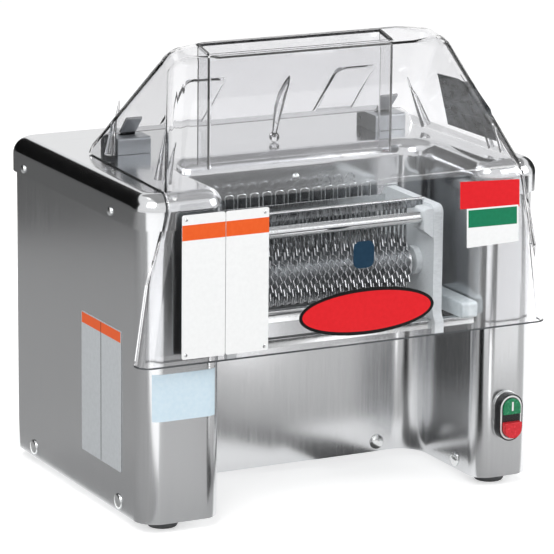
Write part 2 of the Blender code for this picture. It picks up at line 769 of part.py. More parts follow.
def make_hood_forms():
    """The pads and ribs that stiffen the hood, let into its sheet."""
    bm = bmesh.new()
    outline = rounded(
        [
            (-PAD_WIDTH / 2, PAD_FOOT, 0),
            (PAD_WIDTH / 2, PAD_FOOT, 0),
            (PAD_WIDTH / 2, PAD_FOOT + PAD_LENGTH, PAD_CORNER),
            (-PAD_WIDTH / 2, PAD_FOOT + PAD_LENGTH, PAD_CORNER),
        ]
    )
    for sign in (-1, 1):
        x = WIDTH / 2 + sign * PAD_OFFSET
        rows = [
            [bm.verts.new(panel_point(x + u, up, depth)) for u, up in outline]
            for depth in (-PAD_RISE, HOOD_WALL / 2)
        ]
        for row in rows:
            bm.faces.new(row)
        for i in range(len(outline)):
            j = (i + 1) % len(outline)
            bm.faces.new((rows[0][i], rows[0][j], rows[1][j], rows[1][i]))
    inner = HOOD_WALL * 0.9
    root = RIB_RADIUS + CLEARANCE
    foot = panel_point(WIDTH / 2, root, inner)
    add_rod(bm, foot, panel_point(WIDTH / 2, root + REAR_RIB_LENGTH, inner), RIB_RADIUS, RIB_SIDES, RIB_TIP)
    lean = math.hypot(1.0, HOOD_LEAN)
    start = HEIGHT + HOOD_WALL * HOOD_LEAN + 2 * RIB_RADIUS * HOOD_LEAN + CLEARANCE
    for sign in (-1, 1):
        for y in SIDE_RIBS:
            ends = []
            for z in (start, start + SIDE_RIB_LENGTH):
                ends.append(Vector((WIDTH / 2 + sign * (hood_side(y, z) - inner * lean), y, z)))
            add_rod(bm, ends[0], ends[1], RIB_RADIUS, RIB_SIDES, RIB_TIP)
    return object_from("hood_forms", bm, None, CUTTERS)


def make_chute():
    x0, x1 = CHUTE_LEFT, CHUTE_LEFT + CHUTE_WIDTH
    y0, y1 = CHUTE_FRONT, CHUTE_FRONT + CHUTE_DEPTH
    wall = CHUTE_WALL
    outer = [(x0, y0), (x1, y0), (x1, y1), (x0, y1)]
    inner = [(x0 + wall, y0 + wall), (x1 - wall, y0 + wall), (x1 - wall, y1 - wall), (x0 + wall, y1 - wall)]
    top = hood_top(y0) + CHUTE_RIM
    chute = prism("feed_chute", [outer, inner], "Z", CHUTE_BOTTOM, top, CLEAR)
    for vert in chute.data.vertices:
        if vert.co.z > (CHUTE_BOTTOM + top) / 2:
            vert.co.z = hood_top(vert.co.y) + CHUTE_RIM
    set_origin(chute, (WIDTH / 2, HINGE_Y, HINGE_Z))


def make_hinges():
    """Clevis blocks on the lid, pins through them, and ears that follow the hood's rear wall."""
    along, inward = PANEL_UP, PANEL_INWARD
    axis = Vector((HINGE_Y, HINGE_Z))
    seat = HOOD_WALL + CLEARANCE - HINGE_INSET
    meet = math.sqrt(EAR_RADIUS**2 - seat**2)
    start = math.atan2(seat, meet)
    steps = 12
    sweep = 2 * math.pi - (math.pi / 2 - start)
    local = [(EAR_LENGTH, seat)]
    local += [
        (EAR_RADIUS * math.cos(start - sweep * i / steps), EAR_RADIUS * math.sin(start - sweep * i / steps))
        for i in range(steps + 1)
    ]
    local.append((EAR_LENGTH, seat + EAR_SHEET))
    ear = [axis + along * u + inward * v for u, v in local]
    bore = PIN_RADIUS + CLEARANCE
    rest = HEIGHT + CLEARANCE
    ears_top = HINGE_Z + BLOCK_HEIGHT / 2
    rear = HINGE_Y + BLOCK_HEIGHT / 2
    block = rounded(
        [
            (BLOCK_FRONT, rest, 0),
            (rear, rest, 0),
            (rear, ears_top, 0.008),
            (BLOCK_FRONT, ears_top, 0.003),
        ]
    )
    for side, sign in (("left", -1), ("right", 1)):
        x = WIDTH / 2 + sign * HINGE_OFFSET
        half = BLOCK_WIDTH / 2
        hole = circle(HINGE_Y, HINGE_Z, bore, 16)
        body = prism(f"hinge_block_{side}", [block, hole], "X", x - half, x + half, GREY_BLOCK)
        gap = box(
            f"ear_gap_{side}",
            (x - BLOCK_GAP / 2, HINGE_Y - BLOCK_GAP_DEPTH, HEIGHT),
            (x + BLOCK_GAP / 2, rear + SHEET, ears_top + SHEET),
            None,
            collection=CUTTERS,
        )
        cut(body, gap)
        rod(f"hinge_pin_{side}", (x - half, HINGE_Y, HINGE_Z), (x + half, HINGE_Y, HINGE_Z), PIN_RADIUS, POLISHED, 16)
        width = BLOCK_GAP / 2 - 2 * CLEARANCE
        piece = prism(f"hood_ear_{side}", [ear, hole], "X", x - width, x + width, STAINLESS)
        set_origin(piece, (WIDTH / 2, HINGE_Y, HINGE_Z))


def make_interlock():
    """The target plate follows the inside of the hood's right wall, over the switch under the lid."""
    rear = TARGET_FRONT + TARGET_LENGTH
    face = [
        (TARGET_FRONT, TARGET_LOW),
        (rear, TARGET_LOW),
        (rear - TARGET_REAR_SLANT, TARGET_HIGH),
        (TARGET_FRONT + TARGET_FRONT_SLANT, TARGET_HIGH),
        (TARGET_FRONT, TARGET_LOW + TARGET_FRONT_EDGE),
    ]
    normal = Vector((1.0, HOOD_TAPER, HOOD_LEAN)).normalized()
    inner = HOOD_WALL + CLEARANCE
    bm = bmesh.new()
    rows = []
    for depth in (inner, inner + TARGET_SHEET):
        row = []
        for y, z in face:
            point = Vector((WIDTH / 2 + hood_side(y, z), y, z)) - normal * depth
            row.append(bm.verts.new(point))
        rows.append(row)
    count = len(face)
    for row in rows:
        bm.faces.new(row)
    for i in range(count):
        j = (i + 1) % count
        bm.faces.new((rows[0][i], rows[0][j], rows[1][j], rows[1][i]))
    plate = object_from("interlock_plate", bm, STAINLESS)
    set_origin(plate, (WIDTH / 2, HINGE_Y, HINGE_Z))

    size = Vector(SENSOR_SIZE)
    top = HEIGHT - LID_SHEET - CLEARANCE
    low = Vector((SENSOR_X - size.x / 2, SENSOR_Y - size.y / 2, top - size.z))
    box("interlock_switch", low, low + size, BLACK_PLASTIC, 0.002)


def plate_outline():
    """A cradle end plate seen from its side: hooks that drop over both support bars, and a bevelled top."""
    seat = BAR_TOP + CLEARANCE
    fit = CLEARANCE
    front, rear = PLATE_FRONT, PLATE_REAR
    return rounded(
        [
            (HOOK, HOOK_BOTTOM, 0.002),
            (FRONT_BAR_Y - fit, HOOK_BOTTOM, 0.002),
            (FRONT_BAR_Y - fit, seat, 0),
            (REAR_BAR_Y + BAR_SIDE + fit, seat, 0),
            (REAR_BAR_Y + BAR_SIDE + fit, HOOK_BOTTOM, 0.002),
            (rear, HOOK_BOTTOM, 0.002),
            (rear, PLATE_TOP, 0.012),
            (front, PLATE_TOP, 0.010),
            (front, seat + HOOK, 0.006),
            (HOOK, seat, 0.004),
        ],
        3,
    )


def roll_spots():
    return {"front": ROLL_Y, "rear": ROLL_Y + ROLL_SPACING}


def make_cradle():
    left_out = PLATE_LEFT
    left_in = left_out + PLATE_THICKNESS
    right_out = left_out + CRADLE_LENGTH
    right_in = right_out - PLATE_THICKNESS
    holes = [circle(y, ROLL_Z, BUSH_RADIUS + CLEARANCE, 20) for y in roll_spots().values()]
    prism("cradle_plate_left", [plate_outline(), *holes], "X", left_out, left_in, WHITE_PLASTIC)
    right = prism("cradle_plate_right", [plate_outline(), *holes], "X", right_in, right_out, WHITE_PLASTIC)
    boss_in = right_in - BOSS_DEPTH
    step = BOSS_DEPTH * 0.8
    boss = rounded(
        [
            (boss_in, BOSS_LOW + step, 0),
            (right_in + BOSS_DEPTH / 2, BOSS_LOW, 0),
            (right_in + BOSS_DEPTH / 2, PLATE_TOP - 0.004, 0),
            (boss_in, PLATE_TOP - 0.004, 0.004),
        ],
        2,
    )
    joined = prism("top_boss", [boss], "Y", PLATE_FRONT + 0.002, TIE_Y + 2 * TIE_RADIUS, None, CUTTERS)
    cut(right, joined, "UNION")

    fit = CLEARANCE
    rod("tie_rod", (left_in + fit, TIE_Y, TIE_Z), (boss_in - fit, TIE_Y, TIE_Z), TIE_RADIUS, POLISHED, 20)
    low_y, low_z = (ROLL_Y + ROLL_SPACING / 2, BAR_TOP + 2 * TIE_RADIUS)
    rod("lower_tie_rod", (left_in + fit, low_y, low_z), (right_in - fit, low_y, low_z), TIE_RADIUS * 0.8, POLISHED, 16)
    for name, y in (("front_support_bar", FRONT_BAR_Y), ("rear_support_bar", REAR_BAR_Y)):
        low = (LEFT_COLUMN + fit, y, BAR_TOP - BAR_SIDE)
        high = (RECESS_RIGHT - fit, y + BAR_SIDE, BAR_TOP)
        box(name, low, high, POLISHED)


def make_bushes():
    """A flanged bush in each plate, at the end of each roll."""
    bore = SHAFT_RADIUS + CLEARANCE
    thick = PLATE_THICKNESS
    face = -CLEARANCE
    profile = [
        (bore, thick - 0.001),
        (BUSH_RADIUS, thick - 0.001),
        (BUSH_RADIUS, face),
        (BUSH_FLANGE, face),
        (BUSH_FLANGE, face - BUSH_FLANGE_LENGTH),
        (bore, face - BUSH_FLANGE_LENGTH),
    ]
    left_in = PLATE_LEFT + PLATE_THICKNESS
    right_in = PLATE_LEFT + CRADLE_LENGTH - PLATE_THICKNESS
    for roll, y in roll_spots().items():
        turned(f"{roll}_bush_right", profile, (right_in, y, ROLL_Z), (1, 0, 0), WHITE_PLASTIC)
        narrow = [(r, max(a, face - BUSH_FLANGE_LENGTH / 4)) for r, a in profile]
        turned(f"{roll}_bush_left", narrow, (left_in, y, ROLL_Z), (-1, 0, 0), WHITE_PLASTIC)


def gear_outline(y, phase):
    """A spur gear with straight-sided teeth and backlash."""
    pitch_radius = ROLL_SPACING / 2
    tip, root = pitch_radius + GEAR_ADDENDUM, pitch_radius - GEAR_DEDENDUM
    step = 2 * math.pi / GEAR_TEETH
    outline = []
    for tooth in range(GEAR_TEETH):
        middle = (tooth + phase) * step
        for share, radius in (
            (-GEAR_ROOT_SHARE, root),
            (-GEAR_TIP_SHARE, tip),
            (GEAR_TIP_SHARE, tip),
            (GEAR_ROOT_SHARE, root),
        ):
            a = middle + share * step
            outline.append((y + radius * math.cos(a), ROLL_Z + radius * math.sin(a)))
    return outline


def blade_stack(name, y, shift, phase):
    """Toothed blades on a spacer drum, as one turned-up skin: each blade rises from the drum to its points."""
    count = 2 * BLADE_TEETH
    step = 2 * math.pi / count

    def ring(x, outer, inner, offset):
        points = []
        for i in range(count):
            radius = outer if i % 2 == 0 else inner
            a = (i + offset) * step
            points.append((x, y + radius * math.cos(a), ROLL_Z + radius * math.sin(a)))
        return points

    bore = SHAFT_RADIUS + CLEARANCE
    start = BLADES_START + shift
    first = start - BLADE_PITCH / 2
    last = start + BLADE_PITCH * (BLADE_COUNT - 0.5)
    rings = [ring(first, bore, bore, phase), ring(first, SPACER_RADIUS, SPACER_RADIUS, phase)]
    for i in range(BLADE_COUNT):
        x = start + i * BLADE_PITCH
        rings.append(ring(x - BLADE_HALF, SPACER_RADIUS, SPACER_RADIUS, phase))
        rings.append(ring(x, BLADE_RADIUS, BLADE_ROOT, phase))
        rings.append(ring(x + BLADE_HALF, SPACER_RADIUS, SPACER_RADIUS, phase))
    rings += [ring(last, SPACER_RADIUS, SPACER_RADIUS, phase), ring(last, bore, bore, phase)]
    rings.append(rings[0])
    stack = loft(name, rings, POLISHED)
    bm = bmesh.new()
    bm.from_mesh(stack.data)
    bmesh.ops.remove_doubles(bm, verts=bm.verts, dist=1e-6)
    bmesh.ops.recalc_face_normals(bm, faces=bm.faces)
    bm.to_mesh(stack.data)
    bm.free()
    set_origin(stack, (WIDTH / 2, y, ROLL_Z))


def make_rolls():
    left_out = PLATE_LEFT
    left_in = left_out + PLATE_THICKNESS
    right_out = left_out + CRADLE_LENGTH
    gear_low = left_in + BUSH_FLANGE_LENGTH / 4 + 3 * CLEARANCE
    for order, (roll, y) in enumerate(roll_spots().items()):
        shift = BLADE_PITCH / 2 * order
        blade_stack(f"{roll}_blades", y, shift, 0.5 * order)
        bore = circle(y, ROLL_Z, SHAFT_RADIUS + CLEARANCE, 20)
        phase = 0.0 if order == 0 else 0.5
        gear = prism(
            f"timing_gear_{roll}",
            [gear_outline(y, phase), bore],
            "X",
            gear_low,
            gear_low + GEAR_WIDTH,
            GEAR_NYLON,
        )
        set_origin(gear, (WIDTH / 2, y, ROLL_Z))
        shaft = rod(
            f"{roll}_shaft",
            (left_out - 0.0005, y, ROLL_Z),
            (right_out - 0.001, y, ROLL_Z),
            SHAFT_RADIUS,
            POLISHED,
            20,
        )
        if roll == "rear":
            half = TANG_SIDE / 2
            tang = box(
                "drive_tang",
                (left_out - 0.0005 - TANG_DEPTH, y - half, ROLL_Z - half),
                (left_in, y + half, ROLL_Z + half),
                None,
                collection=CUTTERS,
            )
            cut(shaft, tang, "UNION")
        set_origin(shaft, (WIDTH / 2, y, ROLL_Z))


def comb_ends():
    """The combs butt against both cradle plates."""
    return PLATE_LEFT + PLATE_THICKNESS + CLEARANCE, PLATE_LEFT + CRADLE_LENGTH - PLATE_THICKNESS - CLEARANCE


def comb_outline(first, top, bar):
    """A bar with a finger in each gap between blades."""
    low, high = comb_ends()
    outline = [(low, top), (low, bar)]
    half = COMB_FINGER / 2
    for i in range(BLADE_COUNT - 1):
        x = first + (i + 0.5) * BLADE_PITCH
        outline += [(x - half, bar), (x - half * 0.6, COMB_REACH), (x + half * 0.6, COMB_REACH), (x + half, bar)]
    outline += [(high, bar), (high, top)]
    return outline


def make_combs():
    spots = roll_spots()
    front_y = spots["front"] - COMB_OFFSET
    prism("front_comb", [comb_outline(BLADES_START, COMB_TOP, COMB_TOP - COMB_BAR)], "Y", front_y, front_y + COMB_SHEET, STAINLESS)
    rear_y = spots["rear"] + COMB_OFFSET
    first = BLADES_START + BLADE_PITCH / 2
    split = RAIL_TOP - COMB_BAR / 2
    outline = comb_outline(first, split - CLEARANCE, RAIL_TOP - COMB_BAR)
    prism("rear_comb", [outline], "Y", rear_y, rear_y + COMB_SHEET, STAINLESS)
    low, high = comb_ends()
    rail = box("loop_rail", (low, rear_y, split), (high, rear_y + COMB_SHEET, RAIL_TOP), STAINLESS)
    cut(rail, make_loops(rear_y + COMB_SHEET / 2), "UNION")
    rod_y = front_y + COMB_SHEET + LOCK_ROD_RADIUS + CLEARANCE
    rod_z = PLATE_TOP + LOCK_ROD_RADIUS + CLEARANCE
    reach = PLATE_THICKNESS / 4
    rod(
        "comb_lock_rod",
        (PLATE_LEFT - reach, rod_y, rod_z),
        (PLATE_LEFT + CRADLE_LENGTH - PLATE_THICKNESS + reach, rod_y, rod_z),
        LOCK_ROD_RADIUS,
        POLISHED,
        10,
    )


def make_loops(y):
    """The row of wire loops that stands on the rail over the rear comb, with their legs let into it."""
    curve = bpy.data.curves.new("wire_loops", "CURVE")
    curve.dimensions = "3D"
    curve.bevel_depth = LOOP_WIRE
    curve.bevel_resolution = 1
    curve.use_fill_caps = True
    half = LOOP_WIDTH / 2
    foot = RAIL_TOP - COMB_SHEET
    crown = RAIL_TOP + LOOP_HEIGHT - half
    for i in range(LOOP_COUNT):
        x = LOOPS_START + i * LOOP_PITCH
        arch = [(x + half * math.cos(a), y, crown + half * math.sin(a)) for a in (math.pi * k / 3 for k in range(4))]
        points = [(x + half, y, foot), *arch, (x - half, y, foot)]
        spline = curve.splines.new("POLY")
        spline.points.add(len(points) - 1)
        for point, co in zip(spline.points, points):
            point.co = (*co, 1.0)
    guide = bpy.data.objects.new("wire_loops", curve)
    CUTTERS.objects.link(guide)
    mesh = bpy.data.meshes.new_from_object(guide.evaluated_get(bpy.context.evaluated_depsgraph_get()))
    bpy.data.objects.remove(guide)
    bpy.data.curves.remove(curve)
    bm = bmesh.new()
    bm.from_mesh(mesh)
    bpy.data.meshes.remove(mesh)
    bmesh.ops.remove_doubles(bm, verts=bm.verts, dist=1e-6)
    return object_from("wire_loops", bm, None, CUTTERS)


def make_latch():
    low = Vector((LATCH_LEFT, LATCH_FRONT, BAR_TOP + CLEARANCE))
    size = Vector((LATCH_WIDTH, LATCH_LENGTH, LATCH_HEIGHT))
    pivot = Vector((0, LATCH_FRONT + LATCH_LENGTH - LATCH_PIVOT_INSET, low.z + LATCH_HEIGHT / 2))
    body = rounded(
        [
            (low.y, low.z, 0.004),
            (low.y + size.y, low.z, LATCH_HEIGHT * 0.45),
            (low.y + size.y, low.z + size.z, LATCH_HEIGHT * 0.45),
            (low.y, low.z + size.z, 0.004),
        ],
        4,
    )
    hole = circle(pivot.y, pivot.z, LATCH_PIN_RADIUS + CLEARANCE, 14)
    latch = prism("cradle_latch", [body, hole], "X", low.x, low.x + size.x, LATCH_PLASTIC)
    set_origin(latch, (WIDTH / 2, pivot.y, pivot.z))
    rod(
        "latch_pin",
        (LATCH_LEFT - 0.002, pivot.y, pivot.z),
        (RECESS_RIGHT - CLEARANCE, pivot.y, pivot.z),
        LATCH_PIN_RADIUS,
        POLISHED,
        14,
    )


def make_drive():
    rear = roll_spots()["rear"]
    shaft_end = PLATE_LEFT - 0.0005
    coupling = rod(
        "drive_coupling",
        (COUPLING_START, rear, ROLL_Z),
        (shaft_end - 2 * CLEARANCE, rear, ROLL_Z),
        COUPLING_RADIUS,
        POLISHED,
        24,
    )
    half = TANG_SIDE / 2 + CLEARANCE
    socket = box(
        "tang_socket",
        (shaft_end - TANG_DEPTH - 0.001, rear - half, ROLL_Z - half),
        (shaft_end + SHEET, rear + half, ROLL_Z + half),
        None,
        collection=CUTTERS,
    )
    cut(coupling, socket)
    set_origin(coupling, (WIDTH / 2, rear, ROLL_Z))

    floor = SHEET + CLEARANCE
    lobe = GEARBOX_LOBE
    far = MOTOR_Y + MOTOR_RADIUS
    case = rounded(
        [
            (MOTOR_Y - MOTOR_RADIUS * 0.7, floor, 0.004),
            (far, floor, 0.004),
            (far, MOTOR_Z + MOTOR_RADIUS, MOTOR_RADIUS * 0.8),
            (rear + lobe * 0.3, ROLL_Z + lobe, lobe * 0.8),
            (rear - lobe, ROLL_Z + lobe, lobe * 0.8),
            (rear - lobe, ROLL_Z - lobe, lobe * 0.8),
        ]
    )
    gearbox = prism("gearbox", [case], "X", GEARBOX_LEFT, GEARBOX_RIGHT, CAST_IRON)
    bevel_edges(gearbox, 0.003, 1)

    start = GEARBOX_RIGHT + CLEARANCE
    end = start + MOTOR_LENGTH
    bm = bmesh.new()
    add_rod(bm, (start, MOTOR_Y, MOTOR_Z), (end, MOTOR_Y, MOTOR_Z), MOTOR_RADIUS, 28)
    motor = object_from("motor", bm, CAST_IRON)
    bevel_edges(motor, 0.006, 1)
    rod(
        "motor_end_bell",
        (end + CLEARANCE, MOTOR_Y, MOTOR_Z),
        (end + CLEARANCE + MOTOR_CAP_LENGTH, MOTOR_Y, MOTOR_Z),
        MOTOR_RADIUS * 0.97,
        CAST_IRON,
        28,
        MOTOR_CAP_RADIUS,
    )

    saddle_top = MOTOR_Z - MOTOR_RADIUS + SADDLE_RISE
    saddle = box(
        "motor_saddle",
        (SADDLE_LEFT, MOTOR_Y - SADDLE_DEPTH / 2, floor),
        (SADDLE_LEFT + SADDLE_LENGTH, MOTOR_Y + SADDLE_DEPTH / 2, saddle_top),
        CAST_IRON,
    )
    seat = rod(
        "saddle_seat",
        (SADDLE_LEFT - SHEET, MOTOR_Y, MOTOR_Z),
        (SADDLE_LEFT + SADDLE_LENGTH + SHEET, MOTOR_Y, MOTOR_Z),
        MOTOR_RADIUS + CLEARANCE,
        None,
        28,
        collection=CUTTERS,
    )
    cut(saddle, seat)
    can_z = MOTOR_Z + MOTOR_RADIUS + CAPACITOR_RADIUS + CLEARANCE
    can = rod(
        "start_capacitor",
        (SADDLE_LEFT, MOTOR_Y, can_z),
        (SADDLE_LEFT + CAPACITOR_LENGTH, MOTOR_Y, can_z),
        CAPACITOR_RADIUS,
        BLACK_PLASTIC,
    )
    bevel_edges(can, 0.003, 1)
    size = Vector(CONTROL_BOX_SIZE)
    wall = WIDTH - SHEET - CLEARANCE
    low = Vector((wall - size.x, CONTROL_BOX_Y, CONTROL_BOX_Z))
    box("control_box", low, low + size, BLACK_PLASTIC, 0.003)


def stadium(u, v, width, height, steps=6):
    """An upright outline with round ends."""
    half = width / 2
    return rounded(
        [
            (u - half, v - height / 2, half),
            (u + half, v - height / 2, half),
            (u + half, v + height / 2, half),
            (u - half, v + height / 2, half),
        ],
        steps,
    )


def button_outline(upper, play):
    """Half of the stadium inside the rim, above or below the black band."""
    half = SWITCH_WIDTH / 2 - SWITCH_RIM - play
    band = SWITCH_BAND / 2 + play
    end = SWITCH_HEIGHT / 2 - SWITCH_RIM - play
    sign = 1 if upper else -1
    corners = [
        (SWITCH_X - half, SWITCH_Z + sign * band, 0),
        (SWITCH_X + half, SWITCH_Z + sign * band, 0),
        (SWITCH_X + half, SWITCH_Z + sign * end, half * 0.98),
        (SWITCH_X - half, SWITCH_Z + sign * end, half * 0.98),
    ]
    return rounded(corners, 6)


def make_switch():
    rim = -CLEARANCE
    face = rim - SWITCH_DEPTH
    bezel = prism("switch_bezel", [stadium(SWITCH_X, SWITCH_Z, SWITCH_WIDTH, SWITCH_HEIGHT)], "Y", face, rim, BLACK_PLASTIC)
    proud = {True: START_PROUD, False: STOP_PROUD}
    names = {True: "start_button", False: "stop_button"}
    paint = {True: GREEN_PLASTIC, False: RED_PLASTIC}
    for upper in (True, False):
        floor = face + BUTTON_LENGTH - proud[upper] + BUTTON_TRAVEL + CLEARANCE
        pocket = prism(
            f"{names[upper]}_pocket",
            [button_outline(upper, 0.0)],
            "Y",
            face - SHEET,
            floor,
            None,
            CUTTERS,
        )
        cut(bezel, pocket)
        top = face - proud[upper]
        button = prism(names[upper], [button_outline(upper, CLEARANCE)], "Y", top, top + BUTTON_LENGTH, paint[upper])
        set_origin(button, (SWITCH_X, top, SWITCH_Z))

    inner = SHEET + CLEARANCE
    bm = bmesh.new()
    add_box(
        bm,
        (SWITCH_X - SWITCH_BODY_WIDTH / 2, inner, SWITCH_Z - SWITCH_BODY_HEIGHT / 2),
        (SWITCH_X + SWITCH_BODY_WIDTH / 2, inner + SWITCH_BODY_DEPTH, SWITCH_Z + SWITCH_BODY_HEIGHT / 2),
    )
    body = object_from("switch_body", bm, BLACK_PLASTIC)
    neck = box(
        "switch_neck",
        (SWITCH_X - NECK_WIDTH / 2, 0.0, SWITCH_Z - NECK_HEIGHT / 2),
        (SWITCH_X + NECK_WIDTH / 2, inner + SHEET, SWITCH_Z + NECK_HEIGHT / 2),
        None,
        collection=CUTTERS,
    )
    cut(body, neck, "UNION")


def make_gland():
    """A cord gland clamped through the rear wall, with a blanked end."""
    outer = CLEARANCE
    inner = -SHEET - CLEARANCE
    nut = inner - 0.005
    profile = [
        (GLAND_NECK * 0.8, GLAND_REACH),
        (GLAND_RADIUS * 0.9, GLAND_REACH - 0.006),
        (GLAND_RADIUS, outer),
        (GLAND_NECK, outer),
        (GLAND_NECK, inner),
        (GLAND_RADIUS, inner),
        (GLAND_RADIUS, nut),
    ]
    rings = [[(u, DEPTH + along, v) for u, v in circle(GLAND_X, GLAND_Z, r, 16)] for r, along in profile]
    loft("cord_gland", rings, BLACK_PLASTIC, closed=True)


def main():
    make_screws(make_housing(), make_lid())
    make_feet()
    make_hood()
    make_chute()
    make_hinges()
    make_interlock()
    make_cradle()
    make_bushes()
    make_rolls()
    make_combs()
    make_latch()
    make_drive()
    make_switch()
    make_gland()


main()
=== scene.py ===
"""A countertop meat tenderizer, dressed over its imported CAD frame.

Sizes are in millimetres, and only the property groups keep metres, as Blender does. Places are given in the
machine's own frame: x from the housing's left face, y from its front face backwards, z up from its underside.
"""

import math
from itertools import combinations

import bmesh
import bpy
from bpy.props import FloatProperty, FloatVectorProperty, IntProperty, PointerProperty
from mathutils import Matrix, Vector


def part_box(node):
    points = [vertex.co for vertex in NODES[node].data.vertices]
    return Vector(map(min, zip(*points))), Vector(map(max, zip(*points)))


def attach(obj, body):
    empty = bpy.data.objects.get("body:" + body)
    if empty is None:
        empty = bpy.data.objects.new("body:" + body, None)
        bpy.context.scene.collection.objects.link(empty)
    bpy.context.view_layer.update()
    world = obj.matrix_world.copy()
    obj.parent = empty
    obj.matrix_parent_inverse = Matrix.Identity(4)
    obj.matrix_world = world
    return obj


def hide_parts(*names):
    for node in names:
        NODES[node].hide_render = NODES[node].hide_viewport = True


bl_info = {
    "name": "Meat Tenderizer Dressing",
    "version": (1, 0, 0),
    "blender": (4, 5, 0),
    "location": "3D View > Sidebar > Tenderizer",
    "description": "Models the visible pieces of a countertop meat tenderizer over its CAD frame",
    "category": "Object",
}

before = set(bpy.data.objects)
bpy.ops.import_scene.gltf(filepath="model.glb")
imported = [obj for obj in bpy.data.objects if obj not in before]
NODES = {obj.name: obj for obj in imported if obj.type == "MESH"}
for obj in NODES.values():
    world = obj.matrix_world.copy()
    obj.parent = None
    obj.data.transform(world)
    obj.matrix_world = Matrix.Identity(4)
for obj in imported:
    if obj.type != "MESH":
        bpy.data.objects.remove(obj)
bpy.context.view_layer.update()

MM = 0.001

# Sizes that several pieces share
CLEARANCE = 0.3  # between pieces that fit into each other
WIDTH = 510
DEPTH = 378
HEIGHT = 382  # from the housing's underside to the top of the lid
SHEET = 2
LEFT_COLUMN = 100
RECESS_RIGHT = 433
RECESS_DEPTH = 155
OUTER_BEND = 27
COLUMN_BEND = 22
RECESS_BEND = 32
WALL_TOP = 369.5
OVERHANG = 4.2
SKIRT = 40
ROLL_EDGE = 20
MIDDLE = WIDTH / 2

# The axis of the hood's hinge
HINGE_Y = 247
HINGE_Z = 392.5

# The cradle: the inner faces of its end plates, the rolls' axes and the first blade
INNER_LEFT = 118
INNER_RIGHT = 375
ROLLS = {"front": 54, "rear": 116}
ROLL_Z = 262
FIRST_BLADE = 131.5

# The frame's corner: the base pan stands one sheet and a clearance inside the housing's left front corner
PAN_INSET = SHEET + CLEARANCE
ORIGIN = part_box("base_pan")[0] - Vector((PAN_INSET, PAN_INSET, 0)) * MM


def at(x, y, z):
    """A place in the machine's frame, in millimetres, as a point of the row frame."""
    return ORIGIN + Vector((x, y, z)) * MM


def rgb(colour):
    """Linear red, green and blue of an sRGB hex colour."""
    channels = [int(colour[i : i + 2], 16) / 255 for i in (0, 2, 4)]
    return [c / 12.92 if c <= 0.04045 else ((c + 0.055) / 1.055) ** 2.4 for c in channels]


def rgba(colour):
    """An opaque colour, from sRGB hex or from a setting's linear channels."""
    return (*(rgb(colour) if isinstance(colour, str) else colour), 1.0)


# Materials


def node(tree, kind, inputs=None, **settings):
    """Adds a shader node. Each input is a value, or the socket that feeds it."""
    made = tree.nodes.new("ShaderNode" + kind)
    for name, value in settings.items():
        setattr(made, name, value)
    for name, value in (inputs or {}).items():
        if isinstance(value, bpy.types.NodeSocket):
            tree.links.new(value, made.inputs[name])
        else:
            made.inputs[name].default_value = value
    return made


def new_finish(name, colour, roughness, metallic=0.0, ior=1.5):
    """A material, its Principled shader and its tree."""
    finish = bpy.data.materials.new(name)
    finish.use_nodes = True
    tree = finish.node_tree
    shader = tree.nodes["Principled BSDF"]
    shader.inputs["Base Color"].default_value = rgba(colour)
    shader.inputs["Roughness"].default_value = roughness
    shader.inputs["Metallic"].default_value = metallic
    shader.inputs["IOR"].default_value = ior
    finish.diffuse_color = rgba(colour)
    return finish, shader, tree


def grained(name, dark, light, grain, rough, metallic=0.0, relief=0.0, ior=1.5):
    """A finish whose grain shows in its colour, its gloss and, with a relief in millimetres, its surface.

    The grains measure the given millimetres along x, y and z.
    """
    finish, shader, tree = new_finish(name, light, sum(rough) / 2, metallic, ior)
    coords = node(tree, "TexCoord")
    scale = tuple(1 / (s * MM) for s in grain)
    mapped = node(tree, "Mapping", {"Vector": coords.outputs["Object"], "Scale": scale})
    noise = node(tree, "TexNoise", {"Vector": mapped.outputs["Vector"], "Scale": 1.0, "Detail": 3.0})
    height = noise.outputs["Fac"]
    # The noise's useful middle
    middle = {"Value": height, "From Min": 0.3, "From Max": 0.7}
    share = node(tree, "MapRange", {**middle, "To Min": 0.0, "To Max": 1.0}).outputs["Result"]
    gloss = node(tree, "MapRange", {**middle, "To Min": rough[0], "To Max": rough[1]}).outputs["Result"]
    # A colour mix has its two colours in sockets 6 and 7, and its result in socket 2
    mix = node(tree, "Mix", {0: share, 6: rgba(dark), 7: rgba(light)}, data_type="RGBA")
    tree.links.new(mix.outputs[2], shader.inputs["Base Color"])
    tree.links.new(gloss, shader.inputs["Roughness"])
    if relief:
        bump = node(tree, "Bump", {"Height": height, "Distance": relief * MM, "Strength": 1.0})
        tree.links.new(bump.outputs["Normal"], shader.inputs["Normal"])
    return finish


def clear_plastic(name, colour, ior, roughness):
    """A clear moulding. Rays from the lamps pass straight through it, so that what it covers is lit."""
    finish, shader, tree = new_finish(name, colour, roughness, 0.0, ior)
    shader.inputs["Transmission Weight"].default_value = 1.0
    path = node(tree, "LightPath")
    through = node(tree, "BsdfTransparent", {"Color": rgba("F4F6F7")})
    mix = node(
        tree,
        "MixShader",
        {0: path.outputs["Is Shadow Ray"], 1: shader.outputs["BSDF"], 2: through.outputs["BSDF"]},
    )
    tree.links.new(mix.outputs["Shader"], tree.nodes["Material Output"].inputs["Surface"])
    return finish


FINISHES = {}


